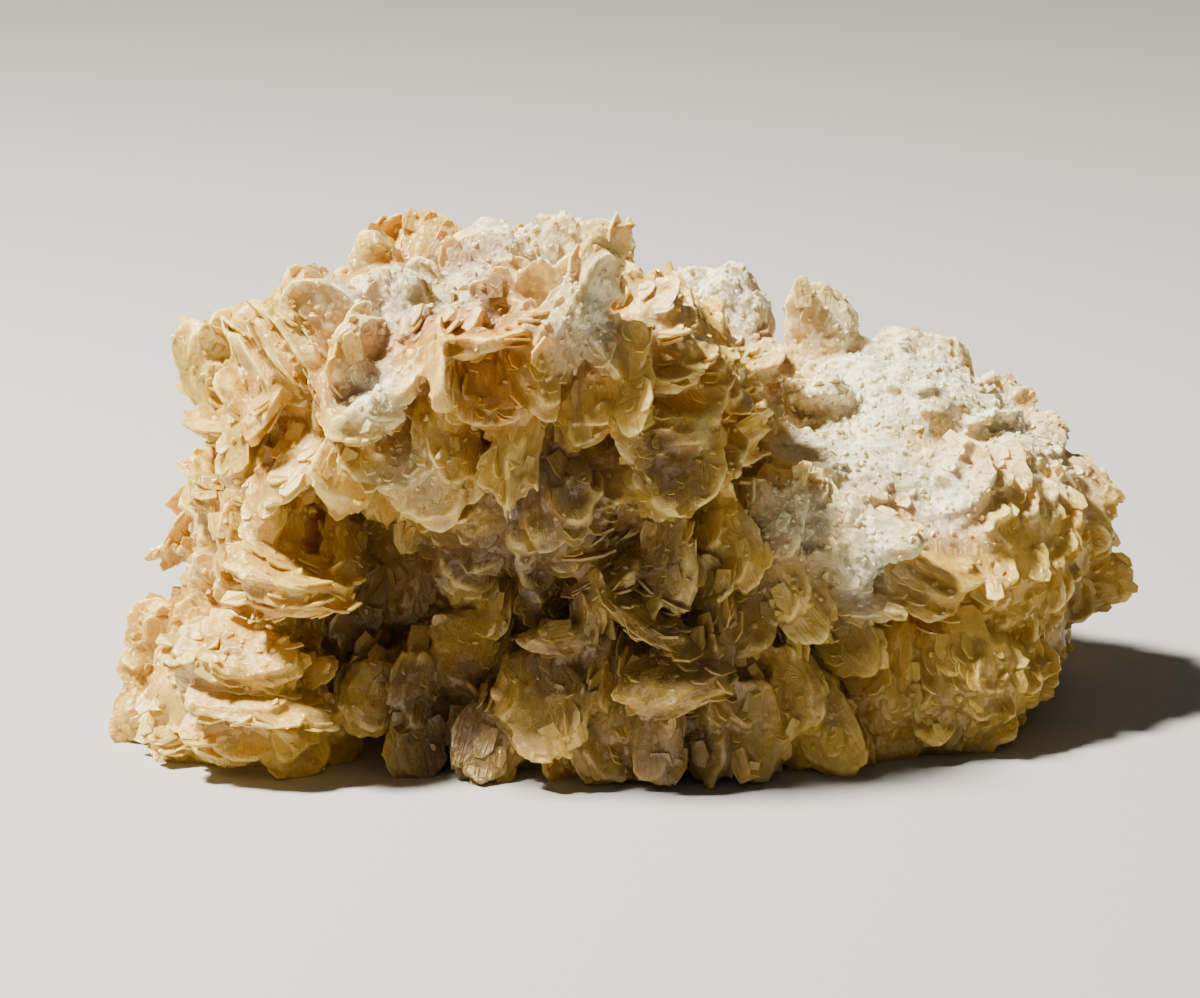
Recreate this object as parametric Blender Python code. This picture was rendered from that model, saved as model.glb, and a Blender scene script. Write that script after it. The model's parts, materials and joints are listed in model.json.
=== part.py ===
"""Barite crystal cluster: bladed crystals grown together over a knobbly mass, one solid.

Lengths are in metres. The origin is the centre of the bounding box's base, +Z is up and the front
faces -Y. The crystals are laid out as they are seen from the front: see the function seen().
"""
import math
import random

import bpy
import bmesh
from mathutils import Matrix, Vector, noise

MM = 0.001

# The front sheet, on which crystals are placed by eye, and the shift that centres the finished solid
EYE_ELEVATION = math.radians(14)
EYE_DISTANCE = 450 * MM
SHEET_CENTRE = Vector((0, 0, 22)) * MM
CENTRING = Vector((-2.600, -1.160, 0)) * MM

# The crystals' general form: bevelled on the face side, and on both sides where they are thick
BEVEL_SHARE = 0.78
BOTH_SIDES_FROM = 3.0 * MM
OUTLINE_WANDER = 0.12
ROOT_SINK = 0.10
OUTLINE_SEED = 7

# The massive interior
LUMP_ROUGHNESS = 0.07
LUMP_SEED = 5

# The back, sides, top and underside, which are grown over with a seeded layout
GROWN_SPACING = 5.5 * MM
SMALL_GROWN = (Vector((6.0, 8.0, 1.6)) * MM, Vector((10.0, 11.5, 2.6)) * MM)
LARGE_GROWN = (Vector((10.0, 12.0, 2.4)) * MM, Vector((15.0, 17.0, 4.2)) * MM)
GROWN_WANDER = 0.25
GROWN_LIFT = (0.45, 1.7)
GROWN_SINK = 0.08
GRAIN_SCALE = 1 / (14 * MM)
CLEARANCE_IN_FRONT = 7.2 * MM
CLEARANCE_BEHIND = 9.6 * MM
LAYOUT_SEED = 11
LEAN_SEED = 1795850937

FLOOR_BLOCK = Vector((300, 300, 30)) * MM

IVORY = (0.86, 0.76, 0.58, 1.0)

# Lumps of the massive interior: centre, then half-sizes, in millimetres
LUMPS = {
    "dome": ((-13, -5, 35), (22, 15, 12)),
    "dome_left_shoulder": ((-30, -3, 31), (8, 12, 10)),
    "dome_right_shoulder": ((5, -4, 33), (9, 12, 10)),
    "dome_chin": ((-7, -12, 27), (13, 9, 8)),
    "neck": ((-32, -3, 19), (7, 12, 12)),
    "foot": ((-33, -7, 5), (11, 15, 8)),
    "trunk": ((-10, 7, 16), (26, 17, 19)),
    "front_sill": ((4, -9, 4), (22, 15, 8)),
    "right_mass": ((31, 7, 12.5), (17, 18, 15)),
    "right_crown": ((30, 14, 22), (14, 12, 11)),
    "saddle": ((12, 11, 24.5), (11, 9, 9)),
    "right_end": ((41, 8, 16), (8, 12, 11)),
    "right_toe": ((29, -6, 5), (14, 11, 9)),
}

# Outlines of the three habits, from root (-0.5) to tip (0.5), in shares of width and length
HABITS = {
    "petal": ((-0.36, -0.5), (0.36, -0.5), (0.5, 0.06), (0.24, 0.46), (-0.16, 0.5), (-0.5, 0.14)),
    "tablet": ((-0.44, -0.5), (0.44, -0.5), (0.5, 0.32), (0.08, 0.5), (-0.46, 0.34)),
    "spear": ((-0.34, -0.5), (0.34, -0.5), (0.5, 0.06), (0.08, 0.5), (-0.44, 0.1)),
}

# Crystals by zone. Each is a place on the front sheet (across, up, and depth away from the eye), the way
# it grows and the way its broad face looks (right, up, towards the eye), then width, length, thickness
# and habit. Places and sizes are in millimetres.
CRYSTALS = {
    "dome_left": (
        ((-39.6, 14.7, -6), (-2, 3, 0), (-1, 0, 3), (7.5, 11, 2.8), "petal"),
        ((-37.2, 16.5, -2), (-1, 3, 0), (1, 0, 3), (6, 8, 2.2), "petal"),
        ((-34.4, 17.6, -7), (0, 3, 0), (-1, 1, 3), (5, 7, 1.8), "tablet"),
        ((-29.0, 21.6, -6), (-3, 1, 0), (0, 3, 1), (7, 9, 1.6), "tablet"),
        ((-33.8, 12.8, -15), (2, -3, 1), (3, 2, 1), (4.5, 10, 1.5), "tablet"),
        ((-31.4, 13.6, -17), (2, -3, 1), (3, 2, 1), (4.5, 10, 1.4), "tablet"),
        ((-29.2, 14.6, -18), (2, -3, 1), (3, 2, 1), (4.5, 9, 1.4), "tablet"),
        ((-36.3, 4.8, -15), (-1, -6, 1), (-2, 0, 3), (4.6, 10, 1.9), "tablet"),
        ((-30.5, 3.0, -19), (-2, -3, 1), (-2, 1, 3), (5.5, 12, 2.3), "tablet"),
        ((-39.3, 7.8, -9), (-3, 1, 0), (0, 3, 2), (5.5, 8, 1.6), "petal"),
        ((-38.8, 2.8, -9), (-3, 2, 0), (1, 2, 2), (5, 8, 1.6), "tablet"),
        ((-38.2, 0.3, -12), (-6, 1, 1), (0, 2, 3), (3.4, 10, 2.6), "tablet"),
        ((-36.0, 10.5, -12), (-2, 1, 1), (-1, 2, 2), (6, 7, 1.8), "petal"),
        ((-33.5, 8.6, -17), (-1, -2, 1), (-3, 0, 2), (5, 8, 1.8), "tablet"),
    ),
    "dome_top": (
        ((-22.5, 24.4, -6), (0, 3, 0), (0, 1, 3), (5.5, 7, 2.2), "petal"),
        ((-27.2, 18.0, -14), (-2, 3, 1), (-1, 1, 3), (10, 12, 3.2), "petal"),
        ((-20.5, 19.5, -14), (1, 3, 1), (0, 2, 3), (9, 10, 2.8), "petal"),
        ((-16.5, 26.2, -3), (0, 3, -1), (1, 1, 3), (6, 7, 2.2), "tablet"),
        ((-11.0, 24.6, -8), (1, 3, 0), (0, 1, 3), (8, 9, 2.6), "petal"),
        ((-5.5, 25.6, -6), (0, 3, 0), (-1, 1, 3), (8, 9, 3.0), "petal"),
        ((-0.5, 24.4, -6), (2, 3, 0), (-1, 1, 3), (8, 9, 3.0), "petal"),
        ((1.2, 21.2, -9), (3, 1, 0), (0, 1, 3), (6.5, 9, 3.2), "petal"),
        ((-15.5, 21.4, -16), (0, 2, 2), (0, 2, 2), (8, 9, 2.6), "petal"),
        ((-8.6, 20.4, -17), (0, 3, 1), (0, 2, 3), (9, 10, 3.0), "petal"),
        ((-24.0, 15.0, -20), (-1, 3, 2), (0, 2, 2), (8, 8, 2.4), "petal"),
    ),
    "dome_petals": (
        ((-19.0, 13.5, -22), (-1, -2, 1), (-3, 1, 2), (8, 11, 1.8), "petal"),
        ((-21.6, 12.6, -21), (-1, -3, 1), (-3, 0, 2), (7, 10, 1.6), "petal"),
        ((-16.4, 15.2, -22), (-2, -2, 1), (-2, 2, 2), (7, 9, 1.7), "petal"),
        ((-10.4, 16.0, -23), (-3, -1, 2), (-1, 3, 1), (6, 13, 1.6), "petal"),
        ((-15.6, 11.5, -25), (0, -3, 1), (3, 0, 1), (5, 9, 1.7), "tablet"),
        ((-10.8, 12.0, -22.5), (0, -3, 1), (0, -1, 3), (11, 11, 2.2), "petal"),
        ((-6.2, 12.2, -23), (1, -3, 1), (2, 0, 3), (5.5, 11, 1.8), "petal"),
        ((-11.2, 9.2, -22.5), (0, -3, 2), (0, 2, 2), (9, 8, 2.0), "petal"),
        ((-3.5, 18.0, -21), (-2, -3, 1), (3, -1, 2), (6, 15, 3.2), "tablet"),
        ((-5.6, 14.2, -23), (-1, -3, 1), (3, -1, 2), (3.4, 7, 2.0), "tablet"),
        ((-24.5, 8.0, -22), (-1, -1, 2), (0, 3, 2), (9, 10, 2.8), "petal"),
        ((-22.0, 9.4, -24), (3, 1, 1), (0, 1, 3), (2.8, 7, 2.2), "tablet"),
        ((-27.0, 10.6, -20), (-1, 2, 2), (0, 2, 2), (6, 8, 2.2), "tablet"),
        ((-20.5, 3.6, -22), (0, -2, 1), (0, -2, 3), (10, 9, 2.2), "petal"),
        ((-17.0, 0.2, -22.5), (1, -3, 1), (-1, 0, 3), (8, 8, 2.2), "petal"),
        ((-25.4, 2.2, -20.5), (-1, -3, 1), (1, 0, 3), (7, 9, 2.2), "tablet"),
        ((-14.5, 5.0, -22), (0, -3, 1), (1, -1, 3), (8, 9, 2.2), "petal"),
    ),
    "sheaf": (
        ((-9.7, 4.2, -24), (-2, -4, 1), (2, -1, 3), (3.2, 13, 1.7), "spear"),
        ((-8.8, 3.0, -25), (-1, -4, 1), (2, 0, 3), (3.2, 13, 1.8), "spear"),
        ((-7.4, 3.2, -24), (-0.5, -4, 1), (3, 0, 2), (3.2, 12, 1.7), "spear"),
        ((-11.8, 2.2, -23), (-3, -4, 1), (1, -1, 3), (2.8, 9, 1.5), "spear"),
        ((-5.4, -1.5, -22), (0, -4, 1), (-1, 0, 3), (6, 10, 2.3), "petal"),
        ((-2.8, -0.8, -22.5), (1, -3, 1), (1, 0, 3), (5.6, 9, 1.9), "petal"),
        ((-7.2, -3.4, -20), (-1, -4, 0), (0, 1, 3), (5, 8, 1.8), "tablet"),
    ),
    "dome_right": (
        ((0.4, 15.5, -19), (1, -3, 1), (3, 0, 2), (6.5, 12, 2.2), "petal"),
        ((1.4, 11.0, -20), (0, -3, 1), (-1, 0, 3), (8, 11, 2.3), "petal"),
        ((-1.6, 8.0, -20), (-1, -3, 1), (1, 0, 3), (7, 9, 2.0), "petal"),
        ((5.0, 19.2, -12), (2, 2, 0), (-1, 2, 2), (7, 8, 1.7), "petal"),
        ((6.5, 17.0, -13), (3, 1, 1), (-1, 2, 2), (8, 9, 1.6), "petal"),
        ((8.5, 15.0, -14), (3, 0, 1), (-1, 3, 2), (8, 10, 1.5), "petal"),
        ((10.4, 12.8, -14), (3, -1, 1), (0, 3, 2), (8, 10, 1.5), "petal"),
        ((7.2, 12.4, -17), (2, -1, 2), (0, 3, 2), (8, 9, 1.6), "petal"),
        ((12.4, 10.4, -13), (3, -1, 1), (0, 3, 2), (7, 9, 1.5), "petal"),
        ((9.4, 9.4, -16.5), (2, -2, 2), (0, 3, 2), (8, 8, 1.7), "petal"),
        ((14.6, 5.8, -11), (4, 2, 1), (-1, 3, 1), (3.8, 8, 1.3), "tablet"),
        ((13.8, 4.2, -11), (4, 1, 1), (-1, 3, 1), (3.8, 8, 1.3), "tablet"),
        ((14.2, 7.8, -11), (3, 1, 1), (0, 3, 1), (5, 8, 1.3), "petal"),
        ((5.4, 3.0, -19.5), (-1, -3, 1), (0, 1, 3), (8, 9, 1.9), "petal"),
        ((9.0, 3.8, -18.5), (1, -3, 1), (1, 1, 3), (8, 9, 1.9), "petal"),
        ((7.5, 1.4, -20.5), (0, -3, 1), (0, 1, 3), (10, 9, 1.9), "petal"),
        ((8.0, 6.8, -18.5), (1, -1, 2), (0, 3, 2), (9, 9, 1.6), "petal"),
        ((11.6, 4.8, -15.5), (3, -1, 1), (0, 1, 3), (7, 8, 1.8), "petal"),
        ((3.8, 5.8, -20), (-2, -1, 2), (1, 0, 3), (6, 8, 1.8), "tablet"),
    ),
    "neck": (
        ((-33.6, -2.3, -19), (0, -4, 1), (-1, 0, 3), (4.0, 8, 2.2), "tablet"),
        ((-38.8, -2.9, -12), (-1, -3, 0), (-2, 0, 3), (4.4, 7, 1.9), "tablet"),
        ((-36.8, -4.0, -15), (0, -3, 1), (2, 0, 3), (4, 7, 1.8), "petal"),
        ((-33.6, -6.1, -21), (-3, 1, 1), (0, 3, 2), (8, 10, 1.5), "petal"),
        ((-32.4, -7.8, -21), (-3, 0.5, 1), (0, 4, 1), (10, 12, 1.5), "petal"),
        ((-31.6, -9.3, -21), (-3, 0, 1), (0, 4, 1), (10, 12, 1.6), "petal"),
        ((-31.0, -10.8, -20.5), (-3, -0.5, 1), (0, 4, 0.5), (9, 11, 1.6), "petal"),
        ((-28.6, -9.2, -19), (2, -1, 1), (0, 4, 1), (9, 9, 2.4), "petal"),
        ((-39.6, -7.6, -9), (-2, 1, 0), (1, 0, 3), (4.5, 7, 1.9), "tablet"),
        ((-39.0, -10.6, -9), (-3, 0, 0), (1, 1, 3), (4.5, 7, 1.9), "tablet"),
    ),
    "foot": (
        ((-43.6, -12.8, -8), (-2, 2, 0), (-1, 1, 3), (7, 9, 2.6), "petal"),
        ((-40.0, -12.6, -11), (-1, 3, 0), (0, 1, 3), (6, 7, 2.2), "petal"),
        ((-45.4, -16.4, -8), (-3, 1, 0), (0, 1, 3), (6.5, 8, 2.6), "petal"),
        ((-45.4, -21.4, -10), (-3, -1, 1), (-1, 0, 3), (7, 9, 2.8), "petal"),
        ((-43.2, -22.8, -14), (-2, -2, 1), (-1, 1, 3), (6, 8, 2.2), "petal"),
        ((-35.4, -15.8, -21), (5, -1, 1), (0, 2, 2), (8.5, 14, 2.6), "petal"),
        ((-34.8, -18.0, -20), (5, 0, 1), (0, -1, 3), (7, 13, 3.2), "petal"),
        ((-34.2, -20.4, -23.5), (5, -0.4, 0.5), (0, 3, 2), (6, 12, 1.9), "tablet"),
        ((-28.4, -21.4, -23), (3, -1, 0), (0, 3, 1), (5, 8, 1.5), "tablet"),
        ((-39.6, -22.6, -21.5), (-3, 0, 1), (0, 3, 2), (5, 7, 1.5), "tablet"),
        ((-42.4, -23.7, -18), (-3, -1.2, 1), (0, 2, 3), (2.8, 6, 1.6), "tablet"),
        ((-36.0, -24.4, -21), (0, -2, 1), (0, 1, 3), (9, 7, 2.6), "petal"),
        ((-41.0, -25.6, -16), (-2, -2, 1), (0, 1, 3), (8, 8, 2.2), "petal"),
        ((-28.4, -17.2, -19), (3, 2, 1), (-1, 2, 3), (3.4, 8, 1.6), "tablet"),
        ((-30.0, -25.4, -20), (1, -3, 1), (1, 1, 3), (8, 8, 2.2), "petal"),
    ),
    "recess": (
        ((-20.0, -8.0, -9), (1, -2, 1), (-1, 0, 3), (9, 11, 2.4), "petal"),
        ((-24.0, -12.5, -12), (-1, -3, 1), (2, 0, 3), (7, 9, 2.2), "tablet"),
        ((-13.5, -6.0, -12), (-2, -2, 1), (1, 1, 3), (9, 9, 2.2), "petal"),
        ((-11.6, -11.5, -13), (0, -3, 1), (-2, 0, 3), (6.5, 9, 2.2), "tablet"),
        ((-14.2, -16.0, -16), (-1, -2, 1), (0, 1, 3), (8, 9, 2.3), "petal"),
        ((-18.6, -20.4, -19), (-1, -2, 1), (2, 0, 3), (6, 9, 2.0), "tablet"),
        ((-23.0, -20.4, -19), (-1, -3, 1), (1, 1, 3), (7, 9, 2.2), "petal"),
        ((-25.6, -6.0, -13), (0, -2, 1), (3, 1, 2), (6, 8, 2.0), "petal"),
        ((-5.5, -9.0, -15), (-1, -2, 1), (2, 0, 3), (7, 9, 2.0), "petal"),
    ),
    "lower_front": (
        ((-1.6, -12.4, -20), (0.3, 4, 0.5), (-3, 0, 2), (5, 13, 1.9), "tablet"),
        ((2.4, -7.2, -19), (3, 1.5, 1), (0, 3, 2), (6, 8, 1.6), "tablet"),
        ((7.0, -7.0, -20), (0, -4, 1), (-2, 0, 3), (5.8, 11, 1.9), "petal"),
        ((-5.4, -13.7, -22), (-4, 0, 1), (0, 1, 3), (3.4, 8, 1.7), "spear"),
        ((6.0, -12.8, -22), (3, -2, 1), (1, 3, 2), (6, 11, 1.7), "petal"),
        ((5.8, -18.6, -25), (-3, -1, 1), (0, 2, 2), (8, 12, 2.0), "petal"),
        ((11.1, -14.4, -20.5), (0.3, -5, 1), (-2, 0, 3), (4.4, 15, 1.8), "tablet"),
        ((-5.4, -22.2, -24), (1, -2, 1), (-1, 1, 3), (9.5, 11, 2.3), "petal"),
        ((-8.8, -20.0, -22), (-1, -3, 1), (-3, 0, 2), (5, 9, 1.8), "tablet"),
        ((5.4, -25.2, -25.5), (-0.5, -4, 0.5), (-1, 0, 3), (5, 10, 2.0), "tablet"),
        ((16.0, -24.6, -23), (0, -4, 0.5), (1, 0, 3), (5.4, 11, 2.1), "petal"),
        ((11.0, -26.0, -24), (0, -4, 0.5), (-2, 0, 3), (5.5, 8, 2.0), "petal"),
        ((0.2, -26.0, -24), (0, -3, 1), (1, 0, 3), (6.5, 8, 2.2), "petal"),
        ((-11.5, -25.4, -22.5), (-1, -3, 1), (0, 0, 3), (8, 9, 2.2), "petal"),
        ((-18.4, -26.0, -21), (0, -3, 1), (1, 0, 3), (7, 8, 2.2), "petal"),
        ((13.8, -20.2, -22), (1, -3, 1), (2, 1, 3), (6, 9, 2.0), "petal"),
        ((0.4, -18.6, -22), (-1, -3, 1), (3, 0, 2), (5.5, 9, 1.8), "tablet"),
        ((13.4, -6.0, -17), (1, -3, 1), (-1, 0, 3), (7, 9, 2.2), "petal"),
        ((14.8, -12.4, -18.5), (1, -3, 1), (1, 1, 3), (6, 9, 2.0), "tablet"),
    ),
    "right_front": (
        ((17.4, -3.5, -14), (-1, -3, 1), (-1, 1, 3), (8, 10, 2.8), "tablet"),
        ((24.4, -5.7, -14), (1, -3, 1), (0, 2, 3), (9, 10, 2.8), "petal"),
        ((29.2, -3.6, -13), (3, -1, 1), (0, 2, 2), (7, 10, 2.0), "petal"),
        ((35.4, -7.4, -10), (3, -2, 1), (2, 2, 2), (6.5, 9, 1.3), "tablet"),
        ((34.0, -8.8, -11.5), (3, -2, 1), (2, 2, 2), (6.5, 9, 1.3), "tablet"),
        ((32.6, -10.4, -12.5), (3, -2, 1), (2, 2, 2), (6.5, 9, 1.3), "tablet"),
        ((39.2, -11.6, -8), (3, -1.5, 0.5), (0, 1, 3), (6, 8, 2.2), "petal"),
        ((36.8, -13.2, -9), (2, -2, 1), (2, 1, 3), (6, 8, 2.0), "petal"),
        ((26.9, -10.8, -15.5), (4, -1.5, 0.5), (0, 2, 3), (3.4, 9, 1.7), "spear"),
        ((20.6, -11.4, -17.5), (2, -3, 1), (-1, 1, 3), (6.5, 11, 2.1), "petal"),
        ((18.2, -9.0, -17), (1, -3, 1), (-2, 1, 3), (5.5, 10, 1.8), "tablet"),
        ((25.7, -15.2, -17), (1, -2, 1), (0, 1, 3), (5.5, 9, 2.0), "petal"),
        ((31.6, -12.6, -10), (0, -3, 1), (-2, 0, 3), (8, 10, 2.2), "petal"),
        ((29.6, -18.0, -15), (0, -4, 1), (-1, 0, 3), (5.8, 11, 2.2), "petal"),
        ((32.4, -17.6, -13.5), (0.5, -4, 1), (2, 0, 3), (5.8, 10, 2.0), "petal"),
        ((38.6, -20.3, -6), (3, -1, 0.5), (0, 1, 3), (5, 8, 2.0), "petal"),
        ((36.0, -18.8, -9), (2, -2, 1), (1, 1, 3), (6, 8, 2.0), "petal"),
        ((22.4, -23.2, -20), (2, -3, 1), (-1, 1, 3), (7.5, 12, 2.2), "petal"),
        ((19.8, -20.2, -20.5), (1, -3, 1), (-2, 1, 3), (6.5, 10, 2.0), "petal"),
        ((29.6, -25.0, -16), (0, -4, 0.5), (1, 0, 3), (5.6, 10, 2.1), "petal"),
        ((33.6, -23.4, -12), (1, -3, 0.5), (0, 1, 3), (6, 9, 2.1), "petal"),
        ((25.4, -26.0, -17.5), (1, -3, 0.5), (-1, 0, 3), (6, 8, 2.0), "petal"),
    ),
    "right_side": (
        ((49.0, -8.2, 8), (3, -1, 0), (-1, 1, 3), (8, 11, 2.6), "petal"),
        ((46.0, -9.5, 4), (2, -2, 1), (1, 1, 3), (7, 9, 2.2), "petal"),
        ((45.0, -3.9, 4), (2, -3, 1), (0, 1, 3), (8.5, 11, 2.4), "petal"),
        ((41.3, -4.5, 0), (1, -3, 1), (-1, 1, 3), (7.5, 10, 2.2), "petal"),
        ((48.4, -2.5, 9), (3, -2, 0), (0, 1, 3), (6.5, 9, 2.2), "petal"),
        ((45.0, -13.6, 4), (3, -1, 0), (0, 2, 2), (4, 7, 1.5), "spear"),
        ((42.2, -16.2, 0), (2, -2, 1), (0, 1, 3), (6.5, 9, 2.0), "petal"),
        ((41.3, -12.0, -3), (1, -3, 1), (-2, 0, 3), (5.5, 9, 2.0), "petal"),
        ((37.2, -23.6, -5), (1, -3, 1), (1, 0, 3), (6, 8, 2.0), "petal"),
    ),
    "right_top": (
        ((9.0, 19.0, 12), (1, 2, 0), (0, 1, 3), (11, 12, 3.2), "petal"),
        ((13.4, 18.0, 10), (1, 2, 0), (0, 1, 3), (9, 12, 3.2), "petal"),
        ((15.4, 14.2, 7), (3, -1, 1), (0, 2, 2), (7, 9, 2.2), "petal"),
        ((22.1, 17.6, 20), (0, 4, 0), (0, 0, 3), (7.4, 11, 3.2), "petal"),
        ((30.2, 14.9, 22), (1, 3, 0), (0, 0, 3), (8.5, 8, 2.6), "petal"),
        ((34.0, 13.2, 21), (1, 2, 0), (0, 1, 3), (9, 9, 2.6), "petal"),
        ((26.8, 13.0, 19), (-1, 2, 0), (0, 1, 3), (7, 8, 2.2), "petal"),
        ((40.7, 9.4, 18), (2, 2, 0), (-1, 0, 3), (6.5, 8, 2.2), "petal"),
        ((44.0, 6.0, 14), (3, 1, 0), (0, 1, 3), (7, 9, 2.4), "petal"),
        ((47.4, 1.5, 12), (3, 0, 0), (0, 1, 3), (8, 10, 2.4), "petal"),
        ((44.2, 0.2, 8), (2, -2, 1), (1, 1, 3), (8, 10, 2.4), "petal"),
        ((35.4, -0.2, -4), (1, -1, 1), (-1, 2, 2), (13, 10, 3.2), "petal"),
        ((30.4, 6.4, 5), (-1, -1, 2), (0, 2, 1), (8, 8, 1.8), "petal"),
        ((25.4, 1.4, -5), (1, -2, 2), (0, 2, 1), (10, 8, 1.8), "petal"),
        ((22.4, 9.6, 8), (0, 1, 2), (0, 2, 2), (10, 10, 3.0), "petal"),
        ((36.4, 6.4, 8), (1, 0, 2), (0, 2, 2), (9, 9, 2.8), "petal"),
        ((20.2, 3.0, -5), (-1, -1, 2), (0, 2, 2), (9, 9, 2.8), "petal"),
    ),
}


def seen(across, up, depth):
    """The point that the eye sees at this place on the front sheet, at this distance behind it."""
    away = Vector((0, math.cos(EYE_ELEVATION), -math.sin(EYE_ELEVATION)))
    sheet_up = Vector((0, math.sin(EYE_ELEVATION), math.cos(EYE_ELEVATION)))
    eye = SHEET_CENTRE - away * EYE_DISTANCE
    on_sheet = SHEET_CENTRE + Vector((across * MM, 0, 0)) + sheet_up * up * MM
    share = (depth * MM - eye.y) / (on_sheet.y - eye.y)
    return eye + (on_sheet - eye) * share


def sheet_direction(right, up, towards):
    """A direction given on the front sheet, in the part's own frame."""
    sine, cosine = math.sin(EYE_ELEVATION), math.cos(EYE_ELEVATION)
    return Vector((right, up * sine - towards * cosine, up * cosine + towards * sine))


def standing(centre, growth, face):
    """The placing of a crystal whose length runs along growth and whose broad face looks along face."""
    along = growth.normalized()
    across = along.cross(face).normalized()
    normal = across.cross(along)
    return Matrix.Translation(centre) @ Matrix((across, along, normal)).transposed().to_4x4()


def bevelled_tablet(name, size, habit, outline_rng):
    """A closed flat crystal whose face is smaller than its outline, as barite's bevelled blades are."""
    width, length, thickness = size
    flip = outline_rng.choice((-1, 1))
    form = bmesh.new()
    corners = []
    for x, y in HABITS[habit]:
        wander = 1 + outline_rng.uniform(-OUTLINE_WANDER, OUTLINE_WANDER)
        corners.append(form.verts.new((flip * x * width * wander, y * length * wander, 0)))
    rim = form.faces.new(corners)
    sides = [(thickness / 2, BEVEL_SHARE)]
    if thickness > BOTH_SIDES_FROM:
        sides.append((-thickness / 2, BEVEL_SHARE))
    else:
        bmesh.ops.translate(form, vec=(0, 0, -thickness / 2), verts=form.verts)
    for height, share in sides:
        made = bmesh.ops.extrude_face_region(form, geom=[rim], use_keep_orig=True)
        for corner in (v for v in made["geom"] if isinstance(v, bmesh.types.BMVert)):
            corner.co = Vector((corner.co.x * share, corner.co.y * share, height))
    if len(sides) > 1:
        form.faces.remove(rim)
    bmesh.ops.recalc_face_normals(form, faces=form.faces)
    mesh = bpy.data.meshes.new(name)
    form.to_mesh(mesh)
    form.free()
    return mesh


def add_helper(name, mesh, placing, collection):
    """A shape that is only joined into the cluster, so it is kept out of the render."""
    helper = bpy.data.objects.new(name, mesh)
    helper.matrix_world = placing
    helper.hide_render = True
    helper.display_type = "WIRE"
    collection.objects.link(helper)
    return helper


def add_lumps(collection):
    """The massive interior, as overlapping lumps with rough facets."""
    rng = random.Random(LUMP_SEED)
    for name, (centre, half_sizes) in LUMPS.items():
        form = bmesh.new()
        bmesh.ops.create_icosphere(form, subdivisions=2, radius=1)
        for corner in form.verts:
            corner.co *= 1 + rng.uniform(-LUMP_ROUGHNESS, LUMP_ROUGHNESS)
        bmesh.ops.scale(form, vec=Vector(half_sizes) * MM, verts=form.verts)
        mesh = bpy.data.meshes.new(name)
        form.to_mesh(mesh)
        form.free()
        add_helper(name, mesh, Matrix.Translation(Vector(centre) * MM), collection)


def inside_lump(point):
    """Whether a point lies in any lump."""
    for centre, half_sizes in LUMPS.values():
        offset = point - Vector(centre) * MM
        if sum((offset[i] / (half_sizes[i] * MM)) ** 2 for i in range(3)) < 1:
            return True
    return False


def lump_surface(spacing):
    """Points about this far apart on the outside of the lumps, each with its outward direction."""
    golden_turn = math.pi * (3 - math.sqrt(5))
    for centre, half_sizes in LUMPS.values():
        radii = Vector(half_sizes) * MM
        mean_radius = sum(radii) / 3
        count = round(4 * math.pi * mean_radius**2 / spacing**2)
        for i in range(count):
            height = 1 - 2 * (i + 0.5) / count
            ring = math.sqrt(1 - height * height)
            turn = golden_turn * i
            unit = Vector((ring * math.cos(turn), ring * math.sin(turn), height))
            outward = Vector(unit[k] / radii[k] for k in range(3)).normalized()
            point = Vector(unit[k] * radii[k] for k in range(3)) + Vector(centre) * MM
            if not inside_lump(point + outward * 0.5 * MM):
                yield point, outward


def add_front_crystals(collection, outline_rng):
    """The crystals placed one by one; their centres are returned."""
    centres = []
    for zone, rows in CRYSTALS.items():
        for i, (place, growth, face, size, habit) in enumerate(rows):
            name = f"{zone}_{i + 1}"
            mesh = bevelled_tablet(name, [side * MM for side in size], habit, outline_rng)
            along = sheet_direction(*growth).normalized()
            centre = seen(*place) - along * size[1] * MM * ROOT_SINK
            add_helper(name, mesh, standing(centre, along, sheet_direction(*face)), collection)
            centres.append(seen(*place))
    return centres


def add_grown_crystals(collection, outline_rng, taken):
    """Crystals over the rest of the surface, wherever none stands yet, leaning the same way nearby."""
    rng = random.Random(LAYOUT_SEED)
    noise.seed_set(LEAN_SEED)
    for number, (point, outward) in enumerate(lump_surface(GROWN_SPACING)):
        wander = Vector(rng.gauss(0, GROWN_WANDER) for _ in range(3))
        lean = noise.noise_vector(point * GRAIN_SCALE).normalized() + wander
        lift = rng.uniform(*GROWN_LIFT)
        behind = outward.y > 0
        least, most = LARGE_GROWN if behind else SMALL_GROWN
        size = [rng.uniform(least[i], most[i]) for i in range(3)]
        habit = rng.choice(("petal", "petal", "tablet"))
        clearance = CLEARANCE_BEHIND if behind else CLEARANCE_IN_FRONT
        if point.z < 2 * MM or min((point - other).length for other in taken) < clearance:
            continue
        along = lean - outward * lean.dot(outward)
        growth = (along.normalized() + outward * lift).normalized()
        centre = point - growth * size[1] * GROWN_SINK
        mesh = bevelled_tablet(f"grown_{number}", size, habit, outline_rng)
        add_helper(mesh.name, mesh, standing(centre, growth, outward + wander), collection)
        taken.append(point)


def stone_material():
    """Milky ivory stone with a soft gloss."""
    material = bpy.data.materials.new("barite")
    material.use_nodes = True
    shader = material.node_tree.nodes["Principled BSDF"]
    shader.inputs["Base Color"].default_value = IVORY
    shader.inputs["Roughness"].default_value = 0.45
    shader.inputs["Metallic"].default_value = 0.0
    shader.inputs["Subsurface Weight"].default_value = 0.3
    shader.inputs["Subsurface Scale"].default_value = 2 * MM
    return material


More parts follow.
